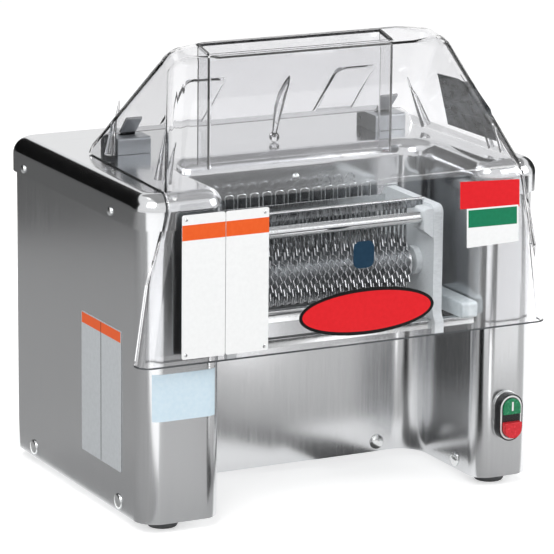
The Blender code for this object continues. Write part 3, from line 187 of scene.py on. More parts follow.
def make_metals():
    """The metal finishes. Grain sizes are real millimetres."""
    # Real brushing lines are about 0.1 mm wide. That is too fine to show in the render, so they are drawn
    # as coarse as they need to be.
    upright, lengthwise = (0.9, 0.9, 70), (80, 0.9, 0.9)
    scratch = 0.0006
    return {
        # Brushed stainless, drawn vertically on the wrapped sheet: fine lines that blur what it reflects
        "wall_steel": grained(
            "brushed_stainless_vertical", "D3D4D6", "DADBDC", upright, (0.16, 0.24), 1.0, scratch
        ),
        # The lid's sheet is brushed along its length
        "lid_steel": grained(
            "brushed_stainless_lengthwise", "D0D1D3", "DADBDC", lengthwise, (0.12, 0.19), 1.0, scratch
        ),
        # Turned and tumbled stainless of rods, shafts and screws: bright, with faint turning marks
        "bright_steel": grained("tumbled_stainless", "DCDEDF", "F0F1F1", (0.8, 3, 3), (0.12, 0.24), 1.0),
        # Ground blade steel with a dull edge
        "blade_steel": grained("ground_blade_stainless", "C4C6C8", "F0F1F2", (2, 1.2, 1.2), (0.24, 0.4), 1.0),
        # Laser-cut plate with its mill finish
        "plate_steel": grained("mill_finish_stainless", "77797B", "A4A6A8", (2, 14, 14), (0.2, 0.34), 1.0),
        # Dark target plate inside the hood, darker and lighter in random patches
        "dark_steel": grained("mottled_dark_stainless", "2E3033", "7A7D80", (12, 16, 9), (0.22, 0.42), 1.0),
        # Grey anodised hinge block
        "block_grey": grained("grey_anodised_aluminium", "A4A6A9", "B6B8BB", (1, 14, 1), (0.35, 0.48), 1.0),
    }


def make_plastics():
    """The plastic, rubber and paint finishes."""
    even = (3, 3, 3)
    return {
        # Moulded polycarbonate: clear, glossy, IOR 1.585
        "clear": clear_plastic("clear_polycarbonate", settings().hood.colour, 1.585, 0.0),
        # The same sheet's sawn lower edge: dull, and painted dark grey as painted shade, for the dark line
        # that the edge shows seen through the sheet
        "clear_edge_painted_dark": grained("sawn_polycarbonate_edge_painted_dark", "3A3D40", "55585B", (2, 2, 2), (0.4, 0.5)),
        # Machined acetal: satin white with tool marks
        "acetal": grained(
            "machined_acetal", "C9CCCE", "DADDDE", (4, 4, 1.2), (0.4, 0.52), relief=0.01, ior=1.48
        ),
        # Natural nylon: milky and waxy
        "nylon": grained("natural_nylon", "C4CBCE", "D8DEE0", (6, 6, 6), (0.32, 0.42), ior=1.53),
        # Moulded rubber of the feet
        "rubber": grained(
            "moulded_grey_rubber", "4A4B4C", "5C5D5E", (1.5, 1.5, 1.5), (0.7, 0.85), relief=0.03, ior=1.52
        ),
        # Moulded ABS of the switch
        "abs_black": grained(
            "black_moulded_abs", "0C0D0F", "15161A", (1, 1, 1), (0.22, 0.34), relief=0.005, ior=1.54
        ),
        "abs_green": grained("green_moulded_abs", "0B6B42", "13895A", even, (0.2, 0.3), ior=1.54),
        "abs_red": grained("red_moulded_abs", "C2121F", "DE2331", even, (0.18, 0.28), ior=1.54),
        "abs_white": grained("white_moulded_abs", "E2E3E3", "F0F0F0", even, (0.3, 0.4), ior=1.54),
        # Painted castings and housings inside
        "casting": grained("grey_painted_casting", "55595C", "6B6F72", even, (0.45, 0.6), relief=0.08),
        # Moulded nylon gears
        "gear_nylon": grained("moulded_gear_nylon", "DAD8CF", "E9E7DF", (4, 4, 4), (0.4, 0.5), ior=1.53),
    }


def make_films():
    """The vinyl films: flat inks under a satin face, each a little uneven."""
    inks = {
        "white": ("EEEFEF", "F2F3F3"),
        "orange": ("E85A1C", "EC6122"),
        "red": ("DC0E1A", "E2131F"),
        "green": ("007650", "047C56"),
        "blue": ("0E3148", "13374E"),
        "black": ("040506", "08090A"),
        "pale": ("CBDFEB", "D3E4EE"),
        # The side plate's silver grey is partly its own tone and partly painted shade for the machine's
        # shaded left side
        "silver": ("B9BDC0", "C1C5C8"),
    }
    return {
        f"film_{ink}": grained(f"{ink}_vinyl_film", dark, light, (5, 5, 5), (0.34, 0.42), ior=1.35)
        for ink, (dark, light) in inks.items()
    }


def make_finishes():
    """Every material of the machine, made once."""
    FINISHES.update({**make_metals(), **make_plastics(), **make_films()})


# Modelling helpers: each works in the machine's frame, in millimetres


def corner_normals(bm):
    """A normal for each face corner, from the faces round it up to sharp edges, weighed by their areas.

    A wide face keeps its own normal up to its edges, and the bends beside it don't bow its reflections.
    """
    areas = {face: face.calc_area() for face in bm.faces}
    normals = []
    for face in bm.faces:
        for vert in face.verts:
            fan = {face}
            waiting = [face]
            while waiting:
                for edge in waiting.pop().edges:
                    if edge.smooth and vert in edge.verts:
                        fresh = [f for f in edge.link_faces if f not in fan]
                        fan.update(fresh)
                        waiting += fresh
            total = sum((f.normal * areas[f] for f in fan), Vector())
            normals.append(total.normalized() if total.length > 1e-9 else face.normal.copy())
    return normals


def piece(name, bm, finish, body, replaced=(), sharp=35, sheet=0):
    """Turns a bmesh into a finished piece that rides on a body.

    Edges sharper than an angle stay crisp. A sheet thickness gives a skin its wall, inwards.
    """
    bmesh.ops.remove_doubles(bm, verts=bm.verts, dist=1e-4)
    bmesh.ops.recalc_face_normals(bm, faces=bm.faces)
    if sheet:
        bmesh.ops.solidify(bm, geom=bm.faces[:], thickness=sheet)
    bm.normal_update()
    for edge in bm.edges:
        edge.smooth = len(edge.link_faces) == 2 and edge.calc_face_angle(0) < math.radians(sharp)
    for face in bm.faces:
        face.smooth = True
    normals = corner_normals(bm)
    bmesh.ops.transform(bm, matrix=Matrix.Translation(ORIGIN) @ Matrix.Scale(MM, 4), verts=bm.verts)
    mesh = bpy.data.meshes.new(name)
    bm.to_mesh(mesh)
    bm.free()
    mesh.normals_split_custom_set(normals)
    made = bpy.data.objects.new(name, mesh)
    bpy.context.scene.collection.objects.link(made)
    mesh.materials.append(FINISHES[finish])
    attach(made, body)
    if replaced:
        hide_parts(*replaced)
    return made


def block(bm, low, high):
    """A box between two corners."""
    low, high = Vector(low), Vector(high)
    place = Matrix.Translation((low + high) / 2) @ Matrix.Diagonal((*(high - low), 1))
    bmesh.ops.create_cube(bm, size=1, matrix=place)


def bar(bm, start, end, radius, segments, end_radius=None):
    """A round bar, or a cone, from one point to another."""
    start, end = Vector(start), Vector(end)
    along = end - start
    turn = along.to_track_quat("Z", "Y").to_matrix().to_4x4()
    bmesh.ops.create_cone(
        bm,
        cap_ends=True,
        segments=segments,
        radius1=radius,
        radius2=radius if end_radius is None else end_radius,
        depth=along.length,
        matrix=Matrix.Translation((start + end) / 2) @ turn,
    )


def rod(part, start, end, radius, segments, suffix="bright"):
    """A bright round rod in place of a part of the CAD."""
    bm = bmesh.new()
    bar(bm, start, end, radius, segments)
    piece(f"{part}_{suffix}", bm, "bright_steel", "machine", (part,))


def bevel(bm, geom, width, segments, affect="EDGES", clamp=True):
    """Rounds edges, or the corners of a flat outline."""
    bmesh.ops.bevel(
        bm,
        geom=geom,
        offset=width,
        offset_type="OFFSET",
        affect=affect,
        segments=segments,
        profile=0.5,
        material=-1,
        clamp_overlap=clamp,
    )


def round_edges(bm, width, segments=3, angle=30, verts=None):
    """Rounds the edges that are sharper than an angle."""
    limit = math.radians(angle)
    chosen = set(verts or bm.verts)
    edges = []
    for edge in bm.edges:
        if len(edge.link_faces) == 2 and edge.calc_face_angle(0) > limit and chosen.issuperset(edge.verts):
            edges.append(edge)
    bevel(bm, edges, width, segments)


def thicken(bm, face, along):
    """Draws a flat face out into a solid, and gives back the vertices of its far side."""
    grown = bmesh.ops.extrude_face_region(bm, geom=[face])["geom"]
    far = [g for g in grown if isinstance(g, bmesh.types.BMVert)]
    bmesh.ops.translate(bm, vec=along, verts=far)
    return far


def rectangle(near, far, corner):
    """An outline from two opposite corners, with all four rounded to one radius."""
    (u0, v0), (u1, v1) = near, far
    return [(u0, v0, corner), (u1, v0, corner), (u1, v1, corner), (u0, v1, corner)]


# How a point (u, v) of an outline and a depth w stand in x, y and z, for the axis of the depth
PLANES = {
    "X": lambda u, v, w: (w, u, v),
    "Y": lambda u, v, w: (u, w, v),
    "Z": lambda u, v, w: (u, v, w),
}


def plate(bm, corners, axis, low, high, segments=6):
    """A plate cut to an outline of (u, v) or (u, v, radius) corners.

    They are (y, z) for axis X, (x, z) for axis Y and (x, y) for axis Z.
    """
    turn = PLANES[axis]
    others = set(bm.faces)
    rounds = {}
    verts = []
    for u, v, *radius in corners:
        vert = bm.verts.new(turn(u, v, low))
        verts.append(vert)
        if radius and radius[0] > 0:
            rounds.setdefault(radius[0], []).append(vert)
    bm.faces.new(verts)
    for radius, chosen in rounds.items():
        bevel(bm, chosen, radius, segments, "VERTICES")
    face = next(f for f in bm.faces if f not in others)
    far = thicken(bm, face, turn(0, 0, high - low))
    return [*face.verts, *far]


def lathe(bm, profile, centre, axis, steps=40):
    """Turns (radius, distance along the axis) points about an axis through a centre."""
    axis = Vector(axis).normalized()
    side = axis.orthogonal().normalized()
    centre = Vector(centre)
    verts = [bm.verts.new(centre + axis * along + side * radius) for radius, along in profile]
    edges = [bm.edges.new(pair) for pair in zip(verts[:-1], verts[1:])]
    bmesh.ops.spin(
        bm,
        geom=verts + edges,
        cent=centre,
        axis=axis,
        angle=math.tau,
        steps=steps,
        use_merge=True,
        use_duplicate=False,
    )


def wire(bm, points, radii, sides=8):
    """A round wire with a radius at each point: rings bridged from point to point, with capped ends."""
    points = [Vector(p) for p in points]
    ring = None
    for i, (point, radius) in enumerate(zip(points, radii)):
        before = points[max(i - 1, 0)]
        after = points[min(i + 1, len(points) - 1)]
        turn = (after - before).to_track_quat("Z", "X").to_matrix().to_4x4()
        made = bmesh.ops.create_circle(
            bm, cap_ends=False, radius=radius, segments=sides, matrix=Matrix.Translation(point) @ turn
        )["verts"]
        edges = {e for v in made for e in v.link_edges}
        if ring:
            bmesh.ops.bridge_loops(bm, edges=list(ring | edges))
        else:
            bmesh.ops.contextual_create(bm, geom=list(edges))
        ring = edges
    bmesh.ops.contextual_create(bm, geom=list(ring))


def u_block(bm, inset, low, high):
    """The U plan as a closed block, with its upright corners rounded."""
    left, right = LEFT_COLUMN - inset, RECESS_RIGHT + inset
    wall = RECESS_DEPTH + inset
    near, far = inset, DEPTH - inset
    west, east = inset, WIDTH - inset
    corners = [
        (west, near, OUTER_BEND - inset),
        (left, near, COLUMN_BEND - inset),
        (left, wall, RECESS_BEND + inset),
        (right, wall, RECESS_BEND + inset),
        (right, near, COLUMN_BEND - inset),
        (east, near, OUTER_BEND - inset),
        (east, far, OUTER_BEND - inset),
        (west, far, OUTER_BEND - inset),
    ]
    plate(bm, corners, "Z", low, high, segments=12)


def drop_faces(bm, keep):
    """Deletes the faces whose centre and normal fail a test."""
    gone = [f for f in bm.faces if not keep(f.calc_center_median_weighted(), f.normal)]
    bmesh.ops.delete(bm, geom=gone, context="FACES")


def merge_flat(bm):
    """Joins the faces that lie in one plane."""
    bmesh.ops.dissolve_limit(bm, angle_limit=math.radians(0.2), verts=bm.verts, edges=bm.edges)
    bm.normal_update()


def slice_all(bm, point, normal, clear=False):
    """Cuts every face along a plane, and drops what lies beyond it where asked."""
    bmesh.ops.bisect_plane(
        bm,
        geom=[*bm.verts, *bm.edges, *bm.faces],
        dist=1e-4,
        plane_co=point,
        plane_no=normal,
        clear_outer=clear,
    )


def cut_panel(bm, out, near, point, normal):
    """Cuts the faces that look nearly along a direction, along a plane."""
    panel = [f for f in bm.faces if f.normal.dot(out) > near]
    geom = [*{v for f in panel for v in f.verts}, *{e for f in panel for e in f.edges}, *panel]
    bmesh.ops.bisect_plane(bm, geom=geom, dist=1e-4, plane_co=point, plane_no=normal)
    bm.normal_update()


def inset_planes(planes, depth):
    """Planes moved inwards, each as a normal and a distance."""
    moved = []
    for point, normal in planes:
        normal = Vector(normal).normalized()
        moved.append((normal, Vector(point).dot(normal) - depth))
    return moved


def meeting(first, second, third):
    """Where three planes meet, or None where they don't meet in one point."""
    (n1, d1), (n2, d2), (n3, d3) = first, second, third
    volume = n1.dot(n2.cross(n3))
    if abs(volume) < 1e-6:
        return None
    return (n2.cross(n3) * d1 + n3.cross(n1) * d2 + n1.cross(n2) * d3) / volume


def round_solid(bm, planes, soft, steps=6):
    """Adds the corners of the convex solid inside some planes, each rounded to a radius from a list.

    The list gives each radius with the heights between which it holds.
    """
    for radius, low, high in soft:
        moved = inset_planes(planes, radius)
        for trio in combinations(moved, 3):
            spot = meeting(*trio)
            if spot is None or not low < spot.z < high or any(n.dot(spot) > d + 1e-3 for n, d in moved):
                continue
            normals = [n for n, _ in trio]
            for i in range(steps + 1):
                for j in range(steps + 1 - i):
                    mixed = normals[0] * i + normals[1] * j + normals[2] * (steps - i - j)
                    bm.verts.new(spot + mixed.normalized() * radius)


def crisp_rims(bm, planes, radius, rims, half, steps=6):
    """Adds crisper folds between pairs of planes that meet in a line across, to both sides of the middle."""
    moved = inset_planes(planes, radius)
    for first, second in rims:
        for x in (MIDDLE - half, MIDDLE + half):
            spot = meeting(moved[first], moved[second], (Vector((1, 0, 0)), x))
            for i in range(steps + 1):
                mixed = moved[first][0] * i + moved[second][0] * (steps - i)
                bm.verts.new(spot + mixed.normalized() * radius)


def wrap_hull(bm):
    """Wraps the vertices in their convex hull, with one face for each plane."""
    bmesh.ops.remove_doubles(bm, verts=bm.verts, dist=1e-3)
    hull = bmesh.ops.convex_hull(bm, input=bm.verts[:])
    inner = {v for v in (*hull["geom_interior"], *hull["geom_unused"]) if isinstance(v, bmesh.types.BMVert)}
    bmesh.ops.delete(bm, geom=list(inner), context="VERTS")
    merge_flat(bm)


# Property groups: what a user would change


def length_setting(name, description, default, least):
    """A length that a user can change, given in millimetres and kept in metres."""
    return FloatProperty(
        name=name,
        description=description,
        default=default * MM,
        min=least * MM,
        precision=4,
        unit="LENGTH",
    )


def colour_setting(name, description, default):
    """A colour that a user can change, given as sRGB hex and kept as linear channels."""
    return FloatVectorProperty(
        name=name,
        description=description,
        default=rgb(default),
        min=0.0,
        max=1.0,
        size=3,
        subtype="COLOR",
    )


class TENDERIZER_PG_hood(bpy.types.PropertyGroup):
    wall: length_setting(name="Wall", description="Thickness of the hood's sheet", default=4, least=1)
    corner: length_setting(name="Corner", description="Radius of the top corners", default=28, least=1)
    bend: length_setting(name="Bend", description="Radius of the lower corners", default=16, least=1)
    rim: length_setting(name="Rim", description="Radius of the top rims", default=5, least=1)
    chute_wall: length_setting(name="Chute", description="Thickness of the feed chute", default=3, least=1)
    colour: colour_setting(name="Colour", description="Tint of the clear sheet", default="FEFEFF")


class TENDERIZER_PG_rolls(bpy.types.PropertyGroup):
    blades: IntProperty(name="Blades", description="Blades on each roll", default=40, min=2)
    teeth: IntProperty(name="Teeth", description="Teeth on each blade", default=18, min=3)
    pitch: length_setting(name="Pitch", description="Distance between blades", default=5.6, least=1)
    thickness: length_setting(name="Thickness", description="Thickness of a blade", default=1.2, least=0.1)
    tip: length_setting(name="Tip", description="Radius at the blades' points", default=36, least=5)
    root: length_setting(name="Root", description="Radius between the teeth", default=30, least=5)


class TENDERIZER_PG_stage(bpy.types.PropertyGroup):
    paper: colour_setting(name="Paper", description="Colour of the floor", default="E9E9E9")
    glow: FloatProperty(name="Glow", description="Light of the floor itself", default=0.5, min=0.0)
    key: FloatProperty(
        name="Key lamp", description="Power of the large soft lamp", default=38.0, min=0.0, unit="POWER"
    )


class TENDERIZER_PG_all(bpy.types.PropertyGroup):
    hood: PointerProperty(name="Hood", description="The hood and its chute", type=TENDERIZER_PG_hood)
    rolls: PointerProperty(name="Rolls", description="The toothed rolls", type=TENDERIZER_PG_rolls)
    stage: PointerProperty(name="Stage", description="The floor and the lamps", type=TENDERIZER_PG_stage)


def settings():
    """The values that a user can change."""
    return bpy.context.scene.tenderizer


def in_mm(kept):
    """A length of the settings in millimetres."""
    return round(kept / MM, 4)


# Operators


class TENDERIZER_OT_housing(bpy.types.Operator):
    """Wraps the housing's sheet round its U plan, with fine bends"""

    bl_idname = "tenderizer.housing"
    bl_label = "Housing"

    def execute(self, context):
        bm = bmesh.new()
        u_block(bm, 0, 0, WALL_TOP)
        drop_faces(bm, lambda centre, normal: abs(normal.z) < 0.5)
        piece("housing_wrap", bm, "wall_steel", "machine", ("housing_shell",), sheet=SHEET)
        return {"FINISHED"}


class TENDERIZER_OT_lid(bpy.types.Operator):
    """Presses the lid, with its deep skirt and large rolled edge"""

    bl_idname = "tenderizer.lid"
    bl_label = "Lid"

    def execute(self, context):
        bm = bmesh.new()
        u_block(bm, -OVERHANG, HEIGHT - SKIRT, HEIGHT)
        rim = [e for e in bm.edges if all(abs(v.co.z - HEIGHT) < 0.01 for v in e.verts)]
        bevel(bm, rim, ROLL_EDGE, 10, clamp=False)
        foot = HEIGHT - SKIRT + 0.01
        drop_faces(bm, lambda centre, normal: centre.z > foot)
        piece("lid_pressing", bm, "lid_steel", "machine", ("top_cover",), sharp=50, sheet=SHEET)
        return {"FINISHED"}


def screw_heads(name, places, radius, head, body="machine"):
    """Like domed screw heads as one piece, from their points and outward directions."""
    steps = 5
    profile = [(radius, -0.5), (radius, head * 0.3)]
    for i in range(1, steps + 1):
        a = math.pi / 2 * i / steps
        profile.append((max(radius * math.cos(a), 0.001), head * (0.3 + 0.7 * math.sin(a))))
    bm = bmesh.new()
    for point, out in places:
        lathe(bm, profile, point, out, steps=24)
    piece(name, bm, "bright_steel", body, sharp=60)


class TENDERIZER_OT_screws(bpy.types.Operator):
    """Drives the screws that hold the lid and the wrapped sheet"""

    bl_idname = "tenderizer.screws"
    bl_label = "Screws"

    def execute(self, context):
        west, east, front, rear = (-1, 0, 0), (1, 0, 0), (0, -1, 0), (0, 1, 0)
        inset = 68
        across, deep = (inset, WIDTH - inset), (inset, DEPTH - inset)
        z = HEIGHT - 32
        places = [((-OVERHANG, y, z), west) for y in (80, 326)]
        places += [((WIDTH + OVERHANG, y, z), east) for y in (80, 326)]
        places.append(((266.5, RECESS_DEPTH - OVERHANG, z), front))
        places += [((x, DEPTH + OVERHANG, z), rear) for x in across]
        screw_heads("skirt_screw_heads", places, 5, 3)
        z = 12
        places = [((0, y, z), west) for y in deep]
        places += [((WIDTH, y, z), east) for y in deep]
        places += [((LEFT_COLUMN, 51.7, z), east), ((RECESS_RIGHT, 51.7, z), west)]
        places += [((x, RECESS_DEPTH, z), front) for x in (150, 383)]
        places += [((x, DEPTH, z), rear) for x in across]
        screw_heads("panel_screw_heads", places, 9, 3)
        return {"FINISHED"}


class TENDERIZER_OT_feet(bpy.types.Operator):
    """Moulds the four rubber feet, each with a lip and a hollow foot"""

    bl_idname = "tenderizer.feet"
    bl_label = "Feet"

    def execute(self, context):
        inset_x, inset_y = 40, 35
        spots = {
            "foot_front_left": (inset_x, inset_y),
            "foot_front_right": (WIDTH - inset_x, inset_y),
            "foot_rear_left": (inset_x, DEPTH - inset_y),
            "foot_rear_right": (WIDTH - inset_x, DEPTH - inset_y),
        }
        for name, (x, y) in spots.items():
            bm = bmesh.new()
            profile = [
                (0.001, -0.3),
                (18, -0.3),
                (19.6, -1.2),
                (20, -2.4),
                (17.4, -10.6),
                (16.4, -12),
                (9, -12),
                (7, -9),
                (0.001, -9),
            ]
            lathe(bm, profile, (x, y, 0), (0, 0, 1))
            piece(name + "_rubber", bm, "rubber", "machine", (name,), sharp=50)
        return {"FINISHED"}


# The hood's outer surface: planes through a point, each with its outward normal
HOOD_LOW, HOOD_LOW_HALF = 187, 264
HOOD_MID, HOOD_MID_HALF = 280, 251
HOOD_KNEE, HOOD_KNEE_HALF = 376, 230
HOOD_FRONT = -13
HOOD_TAPER, HOOD_LEAN = 0.0485, 0.332
RIM_FRONT = (75, 517)
RIM_REAR = (119, 527.5)
REAR_FOOT = (235.2, 405.5)

# The height of the hood's lower edge where it rests over the lid
HOOD_REST = HEIGHT + 1.7

# The feed chute's plan
CHUTE_NEAR = (118, 81)
CHUTE_FAR = (356, 113)


def hood_side(y, z):
    """Half of the hood's outer width above its knee, at a depth and a height."""
    return HOOD_KNEE_HALF - HOOD_TAPER * (y - HOOD_FRONT) - HOOD_LEAN * (z - HOOD_KNEE)


# Where the front panel, the top and the rear panel stand in the list of planes
FRONT_PANEL, TOP_PANEL, REAR_PANEL = 0, 1, 2


def hood_planes():
    """The planes of the hood's outer surface, and two that close it below and behind, with normals."""
    rise = RIM_FRONT[1] - HOOD_KNEE
    run = RIM_FRONT[0] - HOOD_FRONT
    planes = [
        ((0, HOOD_FRONT, HOOD_KNEE), (0, -rise, run)),
        ((0, *RIM_FRONT), (0, RIM_FRONT[1] - RIM_REAR[1], RIM_REAR[0] - RIM_FRONT[0])),
        ((0, *RIM_REAR), (0, RIM_REAR[1] - REAR_FOOT[1], REAR_FOOT[0] - RIM_REAR[0])),
        ((0, HOOD_FRONT, 0), (0, -1, 0)),
        ((0, 300, 0), (0, 1, 0)),
        ((0, 0, HOOD_LOW - 40), (0, 0, -1)),
    ]
    for sign in (-1, 1):
        for (z0, h0), (z1, h1) in (
            ((HOOD_LOW, HOOD_LOW_HALF), (HOOD_MID, HOOD_MID_HALF)),
            ((HOOD_MID, HOOD_MID_HALF), (HOOD_KNEE, HOOD_KNEE_HALF)),
        ):
            planes.append(((MIDDLE + sign * h0, 0, z0), (sign * (z1 - z0), 0, h0 - h1)))
        knee = (MIDDLE + sign * HOOD_KNEE_HALF, HOOD_FRONT, HOOD_KNEE)
        planes.append((knee, (sign, HOOD_TAPER, HOOD_LEAN)))
    return planes


def lid_line():
    """The hood's lower edge at the sides, from the apron's foot back along the lid to the rear."""
    clear = OVERHANG + 1.6
    roll_y, roll_z = ROLL_EDGE - OVERHANG, HEIGHT - ROLL_EDGE
    roll = ROLL_EDGE + 3
    line = [(7, HOOD_LOW), (5.4, HOOD_MID), (-clear, HEIGHT - SKIRT - 1.6), (-clear, roll_z)]
    line += [
        (roll_y - roll * math.cos(math.radians(a)), roll_z + roll * math.sin(math.radians(a)))
        for a in (20, 35, 50, 65, 80)
    ]
    line += [(roll_y + SHEET, HOOD_REST), (REAR_FOOT[0], HOOD_REST), REAR_FOOT]
    return line


def below_line(line, y, z):
    """True where a point of a side wall is under or behind the hood's lower edge."""
    if z > HOOD_REST:
        return y > REAR_FOOT[0]
    for (y0, z0), (y1, z1) in zip(line[:-1], line[1:]):
        if z0 <= z <= z1 and z1 > z0:
            return y > y0 + (y1 - y0) * (z - z0) / (z1 - z0)
    return True


class TENDERIZER_OT_hood(bpy.types.Operator):
    """Wraps the clear hood round its planes, with its slot, pads, ribs and target plate"""

    bl_idname = "tenderizer.hood"
    bl_label = "Hood"

    def execute(self, context):
        sizes = settings().hood
        bm = bmesh.new()
        rims = ((FRONT_PANEL, TOP_PANEL), (TOP_PANEL, REAR_PANEL))
        above, middle, below = 600, 430, 0
        planes, rim_half = hood_planes(), 125
        soft = ((in_mm(sizes.bend), below, middle), (in_mm(sizes.corner), middle, above))
        round_solid(bm, planes, soft)
        crisp_rims(bm, planes, in_mm(sizes.rim), rims, rim_half)
        wrap_hull(bm)
        line = lid_line()
        for (y0, z0), (y1, z1) in zip(line[:-1], line[1:]):
            slice_all(bm, (0, y0, z0), (0, z1 - z0, y0 - y1))
        slice_all(bm, (0, 0, HOOD_LOW), (0, 0, -1), clear=True)
        bm.normal_update()
        drop_faces(bm, lambda centre, normal: not below_line(line, centre.y, centre.z))
        merge_flat(bm)
        sawn_edge = HOOD_LOW + 1.4
        slice_all(bm, (0, 0, sawn_edge), (0, 0, 1))
        self.open_slot(bm)
        self.press_pads(bm)
        wall = in_mm(sizes.wall)
        moulding = piece("hood_moulding", bm, "clear", "hood", ("hood",), sharp=30, sheet=wall)
        # The faces along the sawn lower edge take the dark edge finish: painted shade for the edge's dark
        # line
        moulding.data.materials.append(FINISHES["clear_edge_painted_dark"])
        edge_top = at(0, 0, sawn_edge + 0.1).z
        for face in moulding.data.polygons:
            face.material_index = int(face.center.z < edge_top)
        self.add_ribs()
        self.add_target()
        return {"FINISHED"}

    def add_target(self):
        """Cuts the interlock's dark plate, with two thinner plates on its inner face, and sets it on the
        right wall, seen through the hood.
        """
        lean = math.hypot(1.0, HOOD_LEAN)
        outline = [(128.8, 463.6), (52.4, 466), (26.9, 438.4), (31.4, 398.3), (138.3, 399.3)]
        upper_fold = [(128.8, 463.6), (52.4, 466), (38, 450), (110, 432)]
        lower_fold = [(104, 420), (30, 424), (31.4, 398.3), (138.3, 399.3)]
        for name, corners, low, high in (
            ("interlock_plate_cut", outline, 5.2, 7.2),
            ("interlock_plate_upper", upper_fold, 7.2, 8.2),
            ("interlock_plate_lower", lower_fold, 7.2, 8.2),
        ):
            bm = bmesh.new()
            rings = []
            for deep in (low, high):
                spots = [(MIDDLE + hood_side(y, z) - deep * lean, y, z) for y, z in corners]
                rings.append([bm.verts.new(spot) for spot in spots])
            for ring in rings:
                bm.faces.new(ring)
            bmesh.ops.bridge_loops(bm, edges=[e for f in bm.faces for e in f.edges])
            bmesh.ops.recalc_face_normals(bm, faces=bm.faces)
            round_edges(bm, 0.4, 2, 60)
            piece(name, bm, "dark_steel", "hood", ("interlock_plate",) if corners is outline else ())

    def add_ribs(self):
        """Moulds the horn and its stop inside the rear panel, and the slim ribs inside the side walls."""
        bm = bmesh.new()
        horn_x = 264
        curve = ((207, 390), (204, 397), (200, 411), (194, 427), (186, 443), (175, 458), (168, 468))
        wire(bm, [(horn_x, y, z) for y, z in curve], (3.6, 3.0, 4.2, 5.4, 5.0, 3.4, 0.8), 20)
        piece("hood_rear_horn", bm, "clear", "hood", sharp=50)
        bm = bmesh.new()
        place = Matrix.Translation((horn_x, 205.5, 388.4))
        bmesh.ops.create_icosphere(bm, subdivisions=3, radius=6.2, matrix=place)
        piece("hood_rear_stop", bm, "clear", "hood", sharp=60)
        bm = bmesh.new()
        lean = math.hypot(1.0, HOOD_LEAN)
        for sign in (-1, 1):
            for y, shift, length, radius in ((22, 6, 46, 4.2), (46, 12, 52, 4.2), (190, 18, 60, 6.4)):
                z = HEIGHT + 6
                ends = []
                for rise, deep in ((0, 4.6), (length, 1.6)):
                    back = y + shift * rise / length
                    half = hood_side(back, z + rise) - (4.2 + deep) * lean
                    ends.append((MIDDLE + sign * half, back, z + rise))
                bar(bm, ends[0], ends[1], radius, 20, 0.6)
        piece("hood_side_ribs", bm, "clear", "hood", sharp=60)

    def press_pads(self, bm):
        """Presses two rounded pads out of the rear panel."""
        along = Vector((0, RIM_REAR[0] - REAR_FOOT[0], RIM_REAR[1] - REAR_FOOT[1])).normalized()
        out = Vector((0, along.z, -along.y))
        foot = Vector((0, *REAR_FOOT))
        low, high, half, corner, rise = 8, 96, 27.5, 16, 2.4
        near = 0.999
        for sign in (-1, 1):
            middle = MIDDLE + sign * 98
            cuts = [((middle - half, 0, 0), (1, 0, 0)), ((middle + half, 0, 0), (1, 0, 0))]
            cuts += [(foot + along * reach, along) for reach in (low, high)]
            for point, normal in cuts:
                cut_panel(bm, out, near, point, normal)
            inside = []
            for face in bm.faces:
                centre = face.calc_center_median_weighted()
                reach = (centre - foot).dot(along)
                if face.normal.dot(out) > near and abs(centre.x - middle) < half and low < reach < high:
                    inside.append(face)
            rim = [e for f in inside for e in f.edges if not all(g in inside for g in e.link_faces)]
            bmesh.ops.delete(bm, geom=inside, context="FACES")
            corners = [(-half, low), (half, low), (half, high), (-half, high)]
            made = [bm.verts.new(foot + Vector((middle + u, 0, 0)) + along * v) for u, v in corners]
            others = set(bm.faces)
            bm.faces.new(made)
            bevel(bm, made[2:], corner, 8, "VERTICES")
            pad = next(f for f in bm.faces if f not in others)
            if pad.normal.dot(out) < 0:
                bmesh.ops.reverse_faces(bm, faces=[pad])
            rim = [e for e in rim if e.is_valid]
            bmesh.ops.bridge_loops(bm, edges=rim + list(pad.edges))
            for inset, lift in ((3.2, rise * 0.6), (3.6, rise * 0.4)):
                bmesh.ops.inset_region(bm, faces=[pad], thickness=inset, use_even_offset=True)
                bmesh.ops.translate(bm, vec=out * lift, verts=pad.verts)

    def open_slot(self, bm):
        """Cuts the chute's slot in the top face, with a gap round the chute."""
        gap, up, near = 0.4, Vector((0, 0, 1)), 0.7
        (left, front), (right, rear) = CHUTE_NEAR, CHUTE_FAR
        left, front, right, rear = left - gap, front - gap, right + gap, rear + gap
        for x in (left, right):
            cut_panel(bm, up, near, (x, 0, 0), (1, 0, 0))
        for y in (front, rear):
            cut_panel(bm, up, near, (0, y, 0), (0, 1, 0))
        gone = []
        for face in bm.faces:
            centre = face.calc_center_median_weighted()
            if face.normal.z > near and left < centre.x < right and front < centre.y < rear:
                gone.append(face)
        bmesh.ops.delete(bm, geom=gone, context="FACES")


class TENDERIZER_OT_chute(bpy.types.Operator):
    """Draws the clear feed chute as a tube with rounded corners"""

    bl_idname = "tenderizer.chute"
    bl_label = "Feed chute"

    def execute(self, context):
        wall = in_mm(settings().hood.chute_wall)
        bm = bmesh.new()
        plate(bm, rectangle(CHUTE_NEAR, CHUTE_FAR, 3.5), "Z", 386, 540)
        slope = (RIM_REAR[1] - RIM_FRONT[1]) / (RIM_REAR[0] - RIM_FRONT[0])
        slice_all(bm, (0, RIM_FRONT[0], RIM_FRONT[1] + 1), (0, -slope, 1), clear=True)
        drop_faces(bm, lambda centre, normal: abs(normal.z) < 0.7)
        piece("feed_chute_tube", bm, "clear", "hood", ("feed_chute",), sharp=50, sheet=wall)
        return {"FINISHED"}


